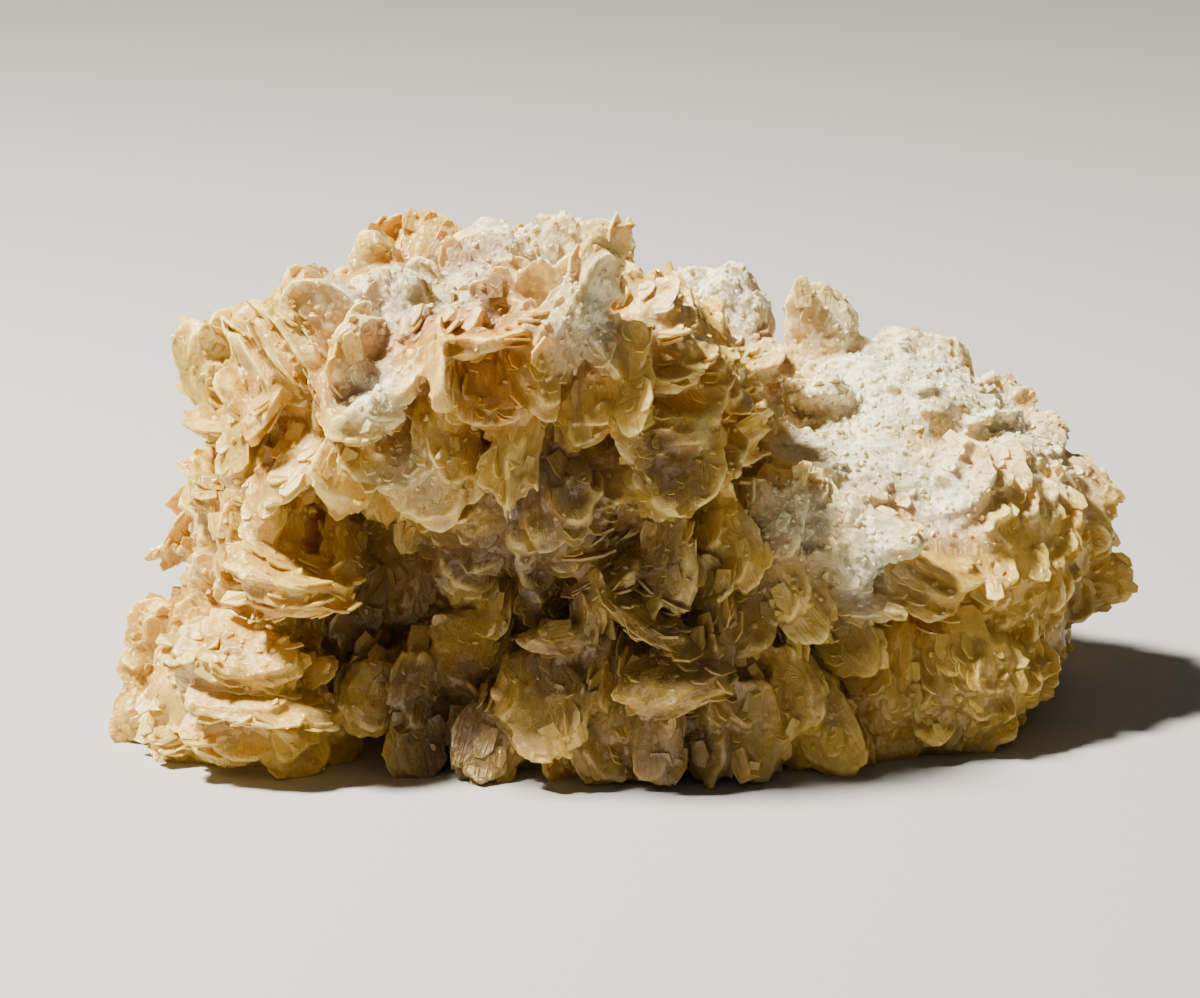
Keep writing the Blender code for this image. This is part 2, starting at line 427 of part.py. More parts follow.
def floor_block():
    """The block that stands for everything below the floor."""
    form = bmesh.new()
    bmesh.ops.create_cube(form, size=1)
    bmesh.ops.scale(form, vec=FLOOR_BLOCK, verts=form.verts)
    mesh = bpy.data.meshes.new("floor_block")
    form.to_mesh(mesh)
    form.free()
    below = Matrix.Translation((0, 0, -FLOOR_BLOCK.z / 2))
    return add_helper("floor_block", mesh, below, bpy.context.scene.collection)


def largest_body(mesh):
    """Leaves only the outer skin of the mass: pockets closed in by crystals are filled."""
    form = bmesh.new()
    form.from_mesh(mesh)
    left = set(form.verts)
    bodies = []
    while left:
        reached = {left.pop()}
        front = list(reached)
        while front:
            for edge in front.pop().link_edges:
                found = left.intersection(edge.verts)
                left -= found
                reached |= found
                front.extend(found)
        bodies.append(reached)
    outer = max(bodies, key=len)
    inner = [corner for corner in form.verts if corner not in outer]
    bmesh.ops.delete(form, geom=inner, context="VERTS")
    form.to_mesh(mesh)
    form.free()


def boolean(mesh, operation, operand):
    """The mesh joined with a collection's objects, or cut by an object, and tidied."""
    workpiece = bpy.data.objects.new("workpiece", mesh)
    bpy.context.scene.collection.objects.link(workpiece)
    modifier = workpiece.modifiers.new(operation.lower(), "BOOLEAN")
    modifier.operation = operation
    modifier.solver = "MANIFOLD"
    if isinstance(operand, bpy.types.Collection):
        modifier.operand_type = "COLLECTION"
        modifier.collection = operand
    else:
        modifier.object = operand
    shaped = workpiece.evaluated_get(bpy.context.evaluated_depsgraph_get())
    result = bpy.data.meshes.new_from_object(shaped)
    bpy.data.objects.remove(workpiece)
    largest_body(result)
    return result


def build_cluster():
    """Joins lumps and crystals into one solid, and cuts it off flat where it was broken from its rock."""
    for leftover in list(bpy.data.objects):
        bpy.data.objects.remove(leftover)
    outline_rng = random.Random(OUTLINE_SEED)
    growth = bpy.data.collections.new("growth")
    bpy.context.scene.collection.children.link(growth)
    add_lumps(growth)
    taken = add_front_crystals(growth, outline_rng)
    add_grown_crystals(growth, outline_rng, taken)

    trunk = growth.objects["trunk"]
    start = trunk.data.copy()
    start.transform(trunk.matrix_world)
    bpy.data.objects.remove(trunk)
    joined = boolean(start, "UNION", growth)
    standing_flat = boolean(joined, "DIFFERENCE", floor_block())
    for helper in list(bpy.data.objects):
        bpy.data.objects.remove(helper)
    bpy.data.collections.remove(growth)

    standing_flat.transform(Matrix.Translation(CENTRING))
    standing_flat.name = "barite_cluster"
    standing_flat.materials.clear()
    standing_flat.materials.append(stone_material())
    cluster = bpy.data.objects.new("barite_cluster", standing_flat)
    bpy.context.scene.collection.objects.link(cluster)


build_cluster()
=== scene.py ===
import functools
import json
import math
import random

import bmesh
import bpy
import numpy as np
from bpy.props import FloatProperty, FloatVectorProperty, IntProperty, PointerProperty
from mathutils import Matrix, Vector, noise
from mathutils.bvhtree import BVHTree
from mathutils.kdtree import KDTree

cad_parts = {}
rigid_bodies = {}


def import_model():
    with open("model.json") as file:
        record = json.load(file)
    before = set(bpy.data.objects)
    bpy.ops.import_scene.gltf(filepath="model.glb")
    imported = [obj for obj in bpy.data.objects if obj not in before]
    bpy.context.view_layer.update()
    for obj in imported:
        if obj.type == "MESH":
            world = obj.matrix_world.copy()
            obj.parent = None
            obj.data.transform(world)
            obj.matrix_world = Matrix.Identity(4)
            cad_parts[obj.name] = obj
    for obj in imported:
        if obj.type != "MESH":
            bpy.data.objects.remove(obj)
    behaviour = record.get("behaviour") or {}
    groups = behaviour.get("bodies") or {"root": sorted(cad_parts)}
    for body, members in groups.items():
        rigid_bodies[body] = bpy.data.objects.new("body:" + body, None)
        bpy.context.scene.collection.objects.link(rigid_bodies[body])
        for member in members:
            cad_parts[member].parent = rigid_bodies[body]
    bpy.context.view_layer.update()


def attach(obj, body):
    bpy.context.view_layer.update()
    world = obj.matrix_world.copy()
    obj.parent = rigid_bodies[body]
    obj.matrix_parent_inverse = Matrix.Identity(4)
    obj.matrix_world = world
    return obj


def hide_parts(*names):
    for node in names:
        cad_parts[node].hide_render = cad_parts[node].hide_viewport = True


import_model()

bl_info = {
    "name": "Barite crystal cluster",
    "version": (1, 0, 0),
    "blender": (4, 5, 0),
    "location": "3D View > Sidebar > Barite",
    "description": "Grows a bladed barite cluster over the part's own lumps, with its stage",
    "category": "Object",
}

MM = 0.001

# The front sheet, on which crystals and colours are placed, and the shift to the part's origin
EYE_ELEVATION = math.radians(14)
EYE_DISTANCE = 450 * MM
SHEET_CENTRE = Vector((0, 0, 22)) * MM
CENTRING = Vector((-2.600, -1.160, 0)) * MM

# The layout that the part's solid has
ROOT_SINK = 0.10
GROWN_SPACING = 5.5 * MM
SMALL_GROWN = (Vector((6.0, 8.0, 1.6)) * MM, Vector((10.0, 11.5, 2.6)) * MM)
LARGE_GROWN = (Vector((10.0, 12.0, 2.4)) * MM, Vector((15.0, 17.0, 4.2)) * MM)
GROWN_WANDER = 0.25
GROWN_LIFT = (0.45, 1.7)
GROWN_SINK = 0.08
GRAIN_SCALE = 1 / (14 * MM)
CLEARANCE_IN_FRONT = 7.2 * MM
CLEARANCE_BEHIND = 9.6 * MM
LAYOUT_SEED = 11
LEAN_SEED = 1795850937

# Lumps of the massive interior: centre, then half-sizes, in millimetres
LUMPS = {
    "dome": ((-13, -5, 35), (22, 15, 12)),
    "dome_left_shoulder": ((-30, -3, 31), (8, 12, 10)),
    "dome_right_shoulder": ((5, -4, 33), (9, 12, 10)),
    "dome_chin": ((-7, -12, 27), (13, 9, 8)),
    "neck": ((-32, -3, 19), (7, 12, 12)),
    "foot": ((-33, -7, 5), (11, 15, 8)),
    "trunk": ((-10, 7, 16), (26, 17, 19)),
    "front_sill": ((4, -9, 4), (22, 15, 8)),
    "right_mass": ((31, 7, 12.5), (17, 18, 15)),
    "right_crown": ((30, 14, 22), (14, 12, 11)),
    "saddle": ((12, 11, 24.5), (11, 9, 9)),
    "right_end": ((41, 8, 16), (8, 12, 11)),
    "right_toe": ((29, -6, 5), (14, 11, 9)),
}

# Each piece of the growth and the lumps under it
REGIONS = {
    "dome": ("dome", "dome_left_shoulder", "dome_right_shoulder", "dome_chin"),
    "foot": ("neck", "foot"),
    "front": ("front_sill", "right_toe"),
    "right": ("right_mass", "right_crown", "right_end"),
    "back": ("trunk", "saddle"),
}

# The most triangles that each piece's surface has
MOST_TRIANGLES = {"dome": 80_000, "foot": 90_000, "front": 110_000, "right": 82_000, "back": 95_000}

# Crystals by zone. Each is a place on the front sheet (across, up, and depth away from the eye), the way
# it grows and the way its broad face looks (right, up, towards the eye), then width, length, thickness
# and habit. Places and sizes are in millimetres.
CRYSTALS = {
    "dome_left": (
        ((-39.6, 14.7, -6), (-2, 3, 0), (-1, 0, 3), (7.5, 11, 2.8), "petal"),
        ((-37.2, 16.5, -2), (-1, 3, 0), (1, 0, 3), (6, 8, 2.2), "petal"),
        ((-34.4, 17.6, -7), (0, 3, 0), (-1, 1, 3), (5, 7, 1.8), "tablet"),
        ((-29.0, 21.6, -6), (-3, 1, 0), (0, 3, 1), (7, 9, 1.6), "tablet"),
        ((-33.8, 12.8, -15), (2, -3, 1), (3, 2, 1), (4.5, 10, 1.5), "tablet"),
        ((-31.4, 13.6, -17), (2, -3, 1), (3, 2, 1), (4.5, 10, 1.4), "tablet"),
        ((-29.2, 14.6, -18), (2, -3, 1), (3, 2, 1), (4.5, 9, 1.4), "tablet"),
        ((-36.3, 4.8, -15), (-1, -6, 1), (-2, 0, 3), (4.6, 10, 1.9), "tablet"),
        ((-30.5, 3.0, -19), (-2, -3, 1), (-2, 1, 3), (5.5, 12, 2.3), "tablet"),
        ((-39.3, 7.8, -9), (-3, 1, 0), (0, 3, 2), (5.5, 8, 1.6), "petal"),
        ((-38.8, 2.8, -9), (-3, 2, 0), (1, 2, 2), (5, 8, 1.6), "tablet"),
        ((-38.2, 0.3, -12), (-6, 1, 1), (0, 2, 3), (3.4, 10, 2.6), "tablet"),
        ((-36.0, 10.5, -12), (-2, 1, 1), (-1, 2, 2), (6, 7, 1.8), "petal"),
        ((-33.5, 8.6, -17), (-1, -2, 1), (-3, 0, 2), (5, 8, 1.8), "tablet"),
    ),
    "dome_top": (
        ((-22.5, 24.4, -6), (0, 3, 0), (0, 1, 3), (5.5, 7, 2.2), "petal"),
        ((-27.2, 18.0, -14), (-2, 3, 1), (-1, 1, 3), (10, 12, 3.2), "petal"),
        ((-20.5, 19.5, -14), (1, 3, 1), (0, 2, 3), (9, 10, 2.8), "petal"),
        ((-16.5, 26.2, -3), (0, 3, -1), (1, 1, 3), (6, 7, 2.2), "tablet"),
        ((-11.0, 24.6, -8), (1, 3, 0), (0, 1, 3), (8, 9, 2.6), "petal"),
        ((-5.5, 25.6, -6), (0, 3, 0), (-1, 1, 3), (8, 9, 3.0), "petal"),
        ((-0.5, 24.4, -6), (2, 3, 0), (-1, 1, 3), (8, 9, 3.0), "petal"),
        ((1.2, 21.2, -9), (3, 1, 0), (0, 1, 3), (6.5, 9, 3.2), "petal"),
        ((-15.5, 21.4, -16), (0, 2, 2), (0, 2, 2), (8, 9, 2.6), "petal"),
        ((-8.6, 20.4, -17), (0, 3, 1), (0, 2, 3), (9, 10, 3.0), "petal"),
        ((-24.0, 15.0, -20), (-1, 3, 2), (0, 2, 2), (8, 8, 2.4), "petal"),
    ),
    "dome_petals": (
        ((-19.0, 13.5, -22), (-1, -2, 1), (-3, 1, 2), (8, 11, 1.8), "petal"),
        ((-21.6, 12.6, -21), (-1, -3, 1), (-3, 0, 2), (7, 10, 1.6), "petal"),
        ((-16.4, 15.2, -22), (-2, -2, 1), (-2, 2, 2), (7, 9, 1.7), "petal"),
        ((-10.4, 16.0, -23), (-3, -1, 2), (-1, 3, 1), (6, 13, 1.6), "petal"),
        ((-15.6, 11.5, -25), (0, -3, 1), (3, 0, 1), (5, 9, 1.7), "tablet"),
        ((-10.8, 12.0, -22.5), (0, -3, 1), (0, -1, 3), (11, 11, 2.2), "petal"),
        ((-6.2, 12.2, -23), (1, -3, 1), (2, 0, 3), (5.5, 11, 1.8), "petal"),
        ((-11.2, 9.2, -22.5), (0, -3, 2), (0, 2, 2), (9, 8, 2.0), "petal"),
        ((-3.5, 18.0, -21), (-2, -3, 1), (3, -1, 2), (6, 15, 3.2), "tablet"),
        ((-5.6, 14.2, -23), (-1, -3, 1), (3, -1, 2), (3.4, 7, 2.0), "tablet"),
        ((-24.5, 8.0, -22), (-1, -1, 2), (0, 3, 2), (9, 10, 2.8), "petal"),
        ((-22.0, 9.4, -24), (3, 1, 1), (0, 1, 3), (2.8, 7, 2.2), "tablet"),
        ((-27.0, 10.6, -20), (-1, 2, 2), (0, 2, 2), (6, 8, 2.2), "tablet"),
        ((-20.5, 3.6, -22), (0, -2, 1), (0, -2, 3), (10, 9, 2.2), "petal"),
        ((-17.0, 0.2, -22.5), (1, -3, 1), (-1, 0, 3), (8, 8, 2.2), "petal"),
        ((-25.4, 2.2, -20.5), (-1, -3, 1), (1, 0, 3), (7, 9, 2.2), "tablet"),
        ((-14.5, 5.0, -22), (0, -3, 1), (1, -1, 3), (8, 9, 2.2), "petal"),
    ),
    "sheaf": (
        ((-9.7, 4.2, -24), (-2, -4, 1), (2, -1, 3), (3.2, 13, 1.7), "spear"),
        ((-8.8, 3.0, -25), (-1, -4, 1), (2, 0, 3), (3.2, 13, 1.8), "spear"),
        ((-7.4, 3.2, -24), (-0.5, -4, 1), (3, 0, 2), (3.2, 12, 1.7), "spear"),
        ((-11.8, 2.2, -23), (-3, -4, 1), (1, -1, 3), (2.8, 9, 1.5), "spear"),
        ((-5.4, -1.5, -22), (0, -4, 1), (-1, 0, 3), (6, 10, 2.3), "petal"),
        ((-2.8, -0.8, -22.5), (1, -3, 1), (1, 0, 3), (5.6, 9, 1.9), "petal"),
        ((-7.2, -3.4, -20), (-1, -4, 0), (0, 1, 3), (5, 8, 1.8), "tablet"),
    ),
    "dome_right": (
        ((0.4, 15.5, -19), (1, -3, 1), (3, 0, 2), (6.5, 12, 2.2), "petal"),
        ((1.4, 11.0, -20), (0, -3, 1), (-1, 0, 3), (8, 11, 2.3), "petal"),
        ((-1.6, 8.0, -20), (-1, -3, 1), (1, 0, 3), (7, 9, 2.0), "petal"),
        ((5.0, 19.2, -12), (2, 2, 0), (-1, 2, 2), (7, 8, 1.7), "petal"),
        ((6.5, 17.0, -13), (3, 1, 1), (-1, 2, 2), (8, 9, 1.6), "petal"),
        ((8.5, 15.0, -14), (3, 0, 1), (-1, 3, 2), (8, 10, 1.5), "petal"),
        ((10.4, 12.8, -14), (3, -1, 1), (0, 3, 2), (8, 10, 1.5), "petal"),
        ((7.2, 12.4, -17), (2, -1, 2), (0, 3, 2), (8, 9, 1.6), "petal"),
        ((12.4, 10.4, -13), (3, -1, 1), (0, 3, 2), (7, 9, 1.5), "petal"),
        ((9.4, 9.4, -16.5), (2, -2, 2), (0, 3, 2), (8, 8, 1.7), "petal"),
        ((14.6, 5.8, -11), (4, 2, 1), (-1, 3, 1), (3.8, 8, 1.3), "tablet"),
        ((13.8, 4.2, -11), (4, 1, 1), (-1, 3, 1), (3.8, 8, 1.3), "tablet"),
        ((14.2, 7.8, -11), (3, 1, 1), (0, 3, 1), (5, 8, 1.3), "petal"),
        ((5.4, 3.0, -19.5), (-1, -3, 1), (0, 1, 3), (8, 9, 1.9), "petal"),
        ((9.0, 3.8, -18.5), (1, -3, 1), (1, 1, 3), (8, 9, 1.9), "petal"),
        ((7.5, 1.4, -20.5), (0, -3, 1), (0, 1, 3), (10, 9, 1.9), "petal"),
        ((8.0, 6.8, -18.5), (1, -1, 2), (0, 3, 2), (9, 9, 1.6), "petal"),
        ((11.6, 4.8, -15.5), (3, -1, 1), (0, 1, 3), (7, 8, 1.8), "petal"),
        ((3.8, 5.8, -20), (-2, -1, 2), (1, 0, 3), (6, 8, 1.8), "tablet"),
    ),
    "neck": (
        ((-33.6, -2.3, -19), (0, -4, 1), (-1, 0, 3), (4.0, 8, 2.2), "tablet"),
        ((-38.8, -2.9, -12), (-1, -3, 0), (-2, 0, 3), (4.4, 7, 1.9), "tablet"),
        ((-36.8, -4.0, -15), (0, -3, 1), (2, 0, 3), (4, 7, 1.8), "petal"),
        ((-33.6, -6.1, -21), (-3, 1, 1), (0, 3, 2), (8, 10, 1.5), "petal"),
        ((-32.4, -7.8, -21), (-3, 0.5, 1), (0, 4, 1), (10, 12, 1.5), "petal"),
        ((-31.6, -9.3, -21), (-3, 0, 1), (0, 4, 1), (10, 12, 1.6), "petal"),
        ((-31.0, -10.8, -20.5), (-3, -0.5, 1), (0, 4, 0.5), (9, 11, 1.6), "petal"),
        ((-28.6, -9.2, -19), (2, -1, 1), (0, 4, 1), (9, 9, 2.4), "petal"),
        ((-39.6, -7.6, -9), (-2, 1, 0), (1, 0, 3), (4.5, 7, 1.9), "tablet"),
        ((-39.0, -10.6, -9), (-3, 0, 0), (1, 1, 3), (4.5, 7, 1.9), "tablet"),
    ),
    "foot": (
        ((-43.6, -12.8, -8), (-2, 2, 0), (-1, 1, 3), (7, 9, 2.6), "petal"),
        ((-40.0, -12.6, -11), (-1, 3, 0), (0, 1, 3), (6, 7, 2.2), "petal"),
        ((-45.4, -16.4, -8), (-3, 1, 0), (0, 1, 3), (6.5, 8, 2.6), "petal"),
        ((-45.4, -21.4, -10), (-3, -1, 1), (-1, 0, 3), (7, 9, 2.8), "petal"),
        ((-43.2, -22.8, -14), (-2, -2, 1), (-1, 1, 3), (6, 8, 2.2), "petal"),
        ((-35.4, -15.8, -21), (5, -1, 1), (0, 2, 2), (8.5, 14, 2.6), "petal"),
        ((-34.8, -18.0, -20), (5, 0, 1), (0, -1, 3), (7, 13, 3.2), "petal"),
        ((-34.2, -20.4, -23.5), (5, -0.4, 0.5), (0, 3, 2), (6, 12, 1.9), "tablet"),
        ((-28.4, -21.4, -23), (3, -1, 0), (0, 3, 1), (5, 8, 1.5), "tablet"),
        ((-39.6, -22.6, -21.5), (-3, 0, 1), (0, 3, 2), (5, 7, 1.5), "tablet"),
        ((-42.4, -23.7, -18), (-3, -1.2, 1), (0, 2, 3), (2.8, 6, 1.6), "tablet"),
        ((-36.0, -24.4, -21), (0, -2, 1), (0, 1, 3), (9, 7, 2.6), "petal"),
        ((-41.0, -25.6, -16), (-2, -2, 1), (0, 1, 3), (8, 8, 2.2), "petal"),
        ((-28.4, -17.2, -19), (3, 2, 1), (-1, 2, 3), (3.4, 8, 1.6), "tablet"),
        ((-30.0, -25.4, -20), (1, -3, 1), (1, 1, 3), (8, 8, 2.2), "petal"),
    ),
    "recess": (
        ((-20.0, -8.0, -9), (1, -2, 1), (-1, 0, 3), (9, 11, 2.4), "petal"),
        ((-24.0, -12.5, -12), (-1, -3, 1), (2, 0, 3), (7, 9, 2.2), "tablet"),
        ((-13.5, -6.0, -12), (-2, -2, 1), (1, 1, 3), (9, 9, 2.2), "petal"),
        ((-11.6, -11.5, -13), (0, -3, 1), (-2, 0, 3), (6.5, 9, 2.2), "tablet"),
        ((-14.2, -16.0, -16), (-1, -2, 1), (0, 1, 3), (8, 9, 2.3), "petal"),
        ((-18.6, -20.4, -19), (-1, -2, 1), (2, 0, 3), (6, 9, 2.0), "tablet"),
        ((-23.0, -20.4, -19), (-1, -3, 1), (1, 1, 3), (7, 9, 2.2), "petal"),
        ((-25.6, -6.0, -13), (0, -2, 1), (3, 1, 2), (6, 8, 2.0), "petal"),
        ((-5.5, -9.0, -15), (-1, -2, 1), (2, 0, 3), (7, 9, 2.0), "petal"),
    ),
    "lower_front": (
        ((-1.6, -12.4, -20), (0.3, 4, 0.5), (-3, 0, 2), (5, 13, 1.9), "tablet"),
        ((2.4, -7.2, -19), (3, 1.5, 1), (0, 3, 2), (6, 8, 1.6), "tablet"),
        ((7.0, -7.0, -20), (0, -4, 1), (-2, 0, 3), (5.8, 11, 1.9), "petal"),
        ((-5.4, -13.7, -22), (-4, 0, 1), (0, 1, 3), (3.4, 8, 1.7), "spear"),
        ((6.0, -12.8, -22), (3, -2, 1), (1, 3, 2), (6, 11, 1.7), "petal"),
        ((5.8, -18.6, -25), (-3, -1, 1), (0, 2, 2), (8, 12, 2.0), "petal"),
        ((11.1, -14.4, -20.5), (0.3, -5, 1), (-2, 0, 3), (4.4, 15, 1.8), "tablet"),
        ((-5.4, -22.2, -24), (1, -2, 1), (-1, 1, 3), (9.5, 11, 2.3), "petal"),
        ((-8.8, -20.0, -22), (-1, -3, 1), (-3, 0, 2), (5, 9, 1.8), "tablet"),
        ((5.4, -25.2, -25.5), (-0.5, -4, 0.5), (-1, 0, 3), (5, 10, 2.0), "tablet"),
        ((16.0, -24.6, -23), (0, -4, 0.5), (1, 0, 3), (5.4, 11, 2.1), "petal"),
        ((11.0, -26.0, -24), (0, -4, 0.5), (-2, 0, 3), (5.5, 8, 2.0), "petal"),
        ((0.2, -26.0, -24), (0, -3, 1), (1, 0, 3), (6.5, 8, 2.2), "petal"),
        ((-11.5, -25.4, -22.5), (-1, -3, 1), (0, 0, 3), (8, 9, 2.2), "petal"),
        ((-18.4, -26.0, -21), (0, -3, 1), (1, 0, 3), (7, 8, 2.2), "petal"),
        ((13.8, -20.2, -22), (1, -3, 1), (2, 1, 3), (6, 9, 2.0), "petal"),
        ((0.4, -18.6, -22), (-1, -3, 1), (3, 0, 2), (5.5, 9, 1.8), "tablet"),
        ((13.4, -6.0, -17), (1, -3, 1), (-1, 0, 3), (7, 9, 2.2), "petal"),
        ((14.8, -12.4, -18.5), (1, -3, 1), (1, 1, 3), (6, 9, 2.0), "tablet"),
    ),
    "right_front": (
        ((17.4, -3.5, -14), (-1, -3, 1), (-1, 1, 3), (8, 10, 2.8), "tablet"),
        ((24.4, -5.7, -14), (1, -3, 1), (0, 2, 3), (9, 10, 2.8), "petal"),
        ((29.2, -3.6, -13), (3, -1, 1), (0, 2, 2), (7, 10, 2.0), "petal"),
        ((35.4, -7.4, -10), (3, -2, 1), (2, 2, 2), (6.5, 9, 1.3), "tablet"),
        ((34.0, -8.8, -11.5), (3, -2, 1), (2, 2, 2), (6.5, 9, 1.3), "tablet"),
        ((32.6, -10.4, -12.5), (3, -2, 1), (2, 2, 2), (6.5, 9, 1.3), "tablet"),
        ((39.2, -11.6, -8), (3, -1.5, 0.5), (0, 1, 3), (6, 8, 2.2), "petal"),
        ((36.8, -13.2, -9), (2, -2, 1), (2, 1, 3), (6, 8, 2.0), "petal"),
        ((26.9, -10.8, -15.5), (4, -1.5, 0.5), (0, 2, 3), (3.4, 9, 1.7), "spear"),
        ((20.6, -11.4, -17.5), (2, -3, 1), (-1, 1, 3), (6.5, 11, 2.1), "petal"),
        ((18.2, -9.0, -17), (1, -3, 1), (-2, 1, 3), (5.5, 10, 1.8), "tablet"),
        ((25.7, -15.2, -17), (1, -2, 1), (0, 1, 3), (5.5, 9, 2.0), "petal"),
        ((31.6, -12.6, -10), (0, -3, 1), (-2, 0, 3), (8, 10, 2.2), "petal"),
        ((29.6, -18.0, -15), (0, -4, 1), (-1, 0, 3), (5.8, 11, 2.2), "petal"),
        ((32.4, -17.6, -13.5), (0.5, -4, 1), (2, 0, 3), (5.8, 10, 2.0), "petal"),
        ((38.6, -20.3, -6), (3, -1, 0.5), (0, 1, 3), (5, 8, 2.0), "petal"),
        ((36.0, -18.8, -9), (2, -2, 1), (1, 1, 3), (6, 8, 2.0), "petal"),
        ((22.4, -23.2, -20), (2, -3, 1), (-1, 1, 3), (7.5, 12, 2.2), "petal"),
        ((19.8, -20.2, -20.5), (1, -3, 1), (-2, 1, 3), (6.5, 10, 2.0), "petal"),
        ((29.6, -25.0, -16), (0, -4, 0.5), (1, 0, 3), (5.6, 10, 2.1), "petal"),
        ((33.6, -23.4, -12), (1, -3, 0.5), (0, 1, 3), (6, 9, 2.1), "petal"),
        ((25.4, -26.0, -17.5), (1, -3, 0.5), (-1, 0, 3), (6, 8, 2.0), "petal"),
    ),
    "right_side": (
        ((49.0, -8.2, 8), (3, -1, 0), (-1, 1, 3), (8, 11, 2.6), "petal"),
        ((46.0, -9.5, 4), (2, -2, 1), (1, 1, 3), (7, 9, 2.2), "petal"),
        ((45.0, -3.9, 4), (2, -3, 1), (0, 1, 3), (8.5, 11, 2.4), "petal"),
        ((41.3, -4.5, 0), (1, -3, 1), (-1, 1, 3), (7.5, 10, 2.2), "petal"),
        ((48.4, -2.5, 9), (3, -2, 0), (0, 1, 3), (6.5, 9, 2.2), "petal"),
        ((45.0, -13.6, 4), (3, -1, 0), (0, 2, 2), (4, 7, 1.5), "spear"),
        ((42.2, -16.2, 0), (2, -2, 1), (0, 1, 3), (6.5, 9, 2.0), "petal"),
        ((41.3, -12.0, -3), (1, -3, 1), (-2, 0, 3), (5.5, 9, 2.0), "petal"),
        ((37.2, -23.6, -5), (1, -3, 1), (1, 0, 3), (6, 8, 2.0), "petal"),
    ),
    "right_top": (
        ((9.0, 19.0, 12), (1, 2, 0), (0, 1, 3), (11, 12, 3.2), "petal"),
        ((13.4, 18.0, 10), (1, 2, 0), (0, 1, 3), (9, 12, 3.2), "petal"),
        ((15.4, 14.2, 7), (3, -1, 1), (0, 2, 2), (7, 9, 2.2), "petal"),
        ((22.1, 17.6, 20), (0, 4, 0), (0, 0, 3), (7.4, 11, 3.2), "petal"),
        ((30.2, 14.9, 22), (1, 3, 0), (0, 0, 3), (8.5, 8, 2.6), "petal"),
        ((34.0, 13.2, 21), (1, 2, 0), (0, 1, 3), (9, 9, 2.6), "petal"),
        ((26.8, 13.0, 19), (-1, 2, 0), (0, 1, 3), (7, 8, 2.2), "petal"),
        ((40.7, 9.4, 18), (2, 2, 0), (-1, 0, 3), (6.5, 8, 2.2), "petal"),
        ((44.0, 6.0, 14), (3, 1, 0), (0, 1, 3), (7, 9, 2.4), "petal"),
        ((47.4, 1.5, 12), (3, 0, 0), (0, 1, 3), (8, 10, 2.4), "petal"),
        ((44.2, 0.2, 8), (2, -2, 1), (1, 1, 3), (8, 10, 2.4), "petal"),
        ((35.4, -0.2, -4), (1, -1, 1), (-1, 2, 2), (13, 10, 3.2), "petal"),
        ((30.4, 6.4, 5), (-1, -1, 2), (0, 2, 1), (8, 8, 1.8), "petal"),
        ((25.4, 1.4, -5), (1, -2, 2), (0, 2, 1), (10, 8, 1.8), "petal"),
        ((22.4, 9.6, 8), (0, 1, 2), (0, 2, 2), (10, 10, 3.0), "petal"),
        ((36.4, 6.4, 8), (1, 0, 2), (0, 2, 2), (9, 9, 2.8), "petal"),
        ((20.2, 3.0, -5), (-1, -1, 2), (0, 2, 2), (9, 9, 2.8), "petal"),
    ),
}

# Outlines of the habits, from root (-0.5) to tip (0.5), in shares of width and length
HABITS = {
    "petal": ((-0.36, -0.5), (0.36, -0.5), (0.5, 0.06), (0.24, 0.46), (-0.16, 0.5), (-0.5, 0.14)),
    "tablet": ((-0.44, -0.5), (0.44, -0.5), (0.5, 0.32), (0.08, 0.5), (-0.46, 0.34)),
    "spear": ((-0.34, -0.5), (0.34, -0.5), (0.5, 0.06), (0.08, 0.5), (-0.44, 0.1)),
    "chip": ((-0.4, -0.5), (0.4, -0.5), (0.5, 0.1), (0.2, 0.5), (-0.2, 0.46), (-0.5, 0.16)),
}
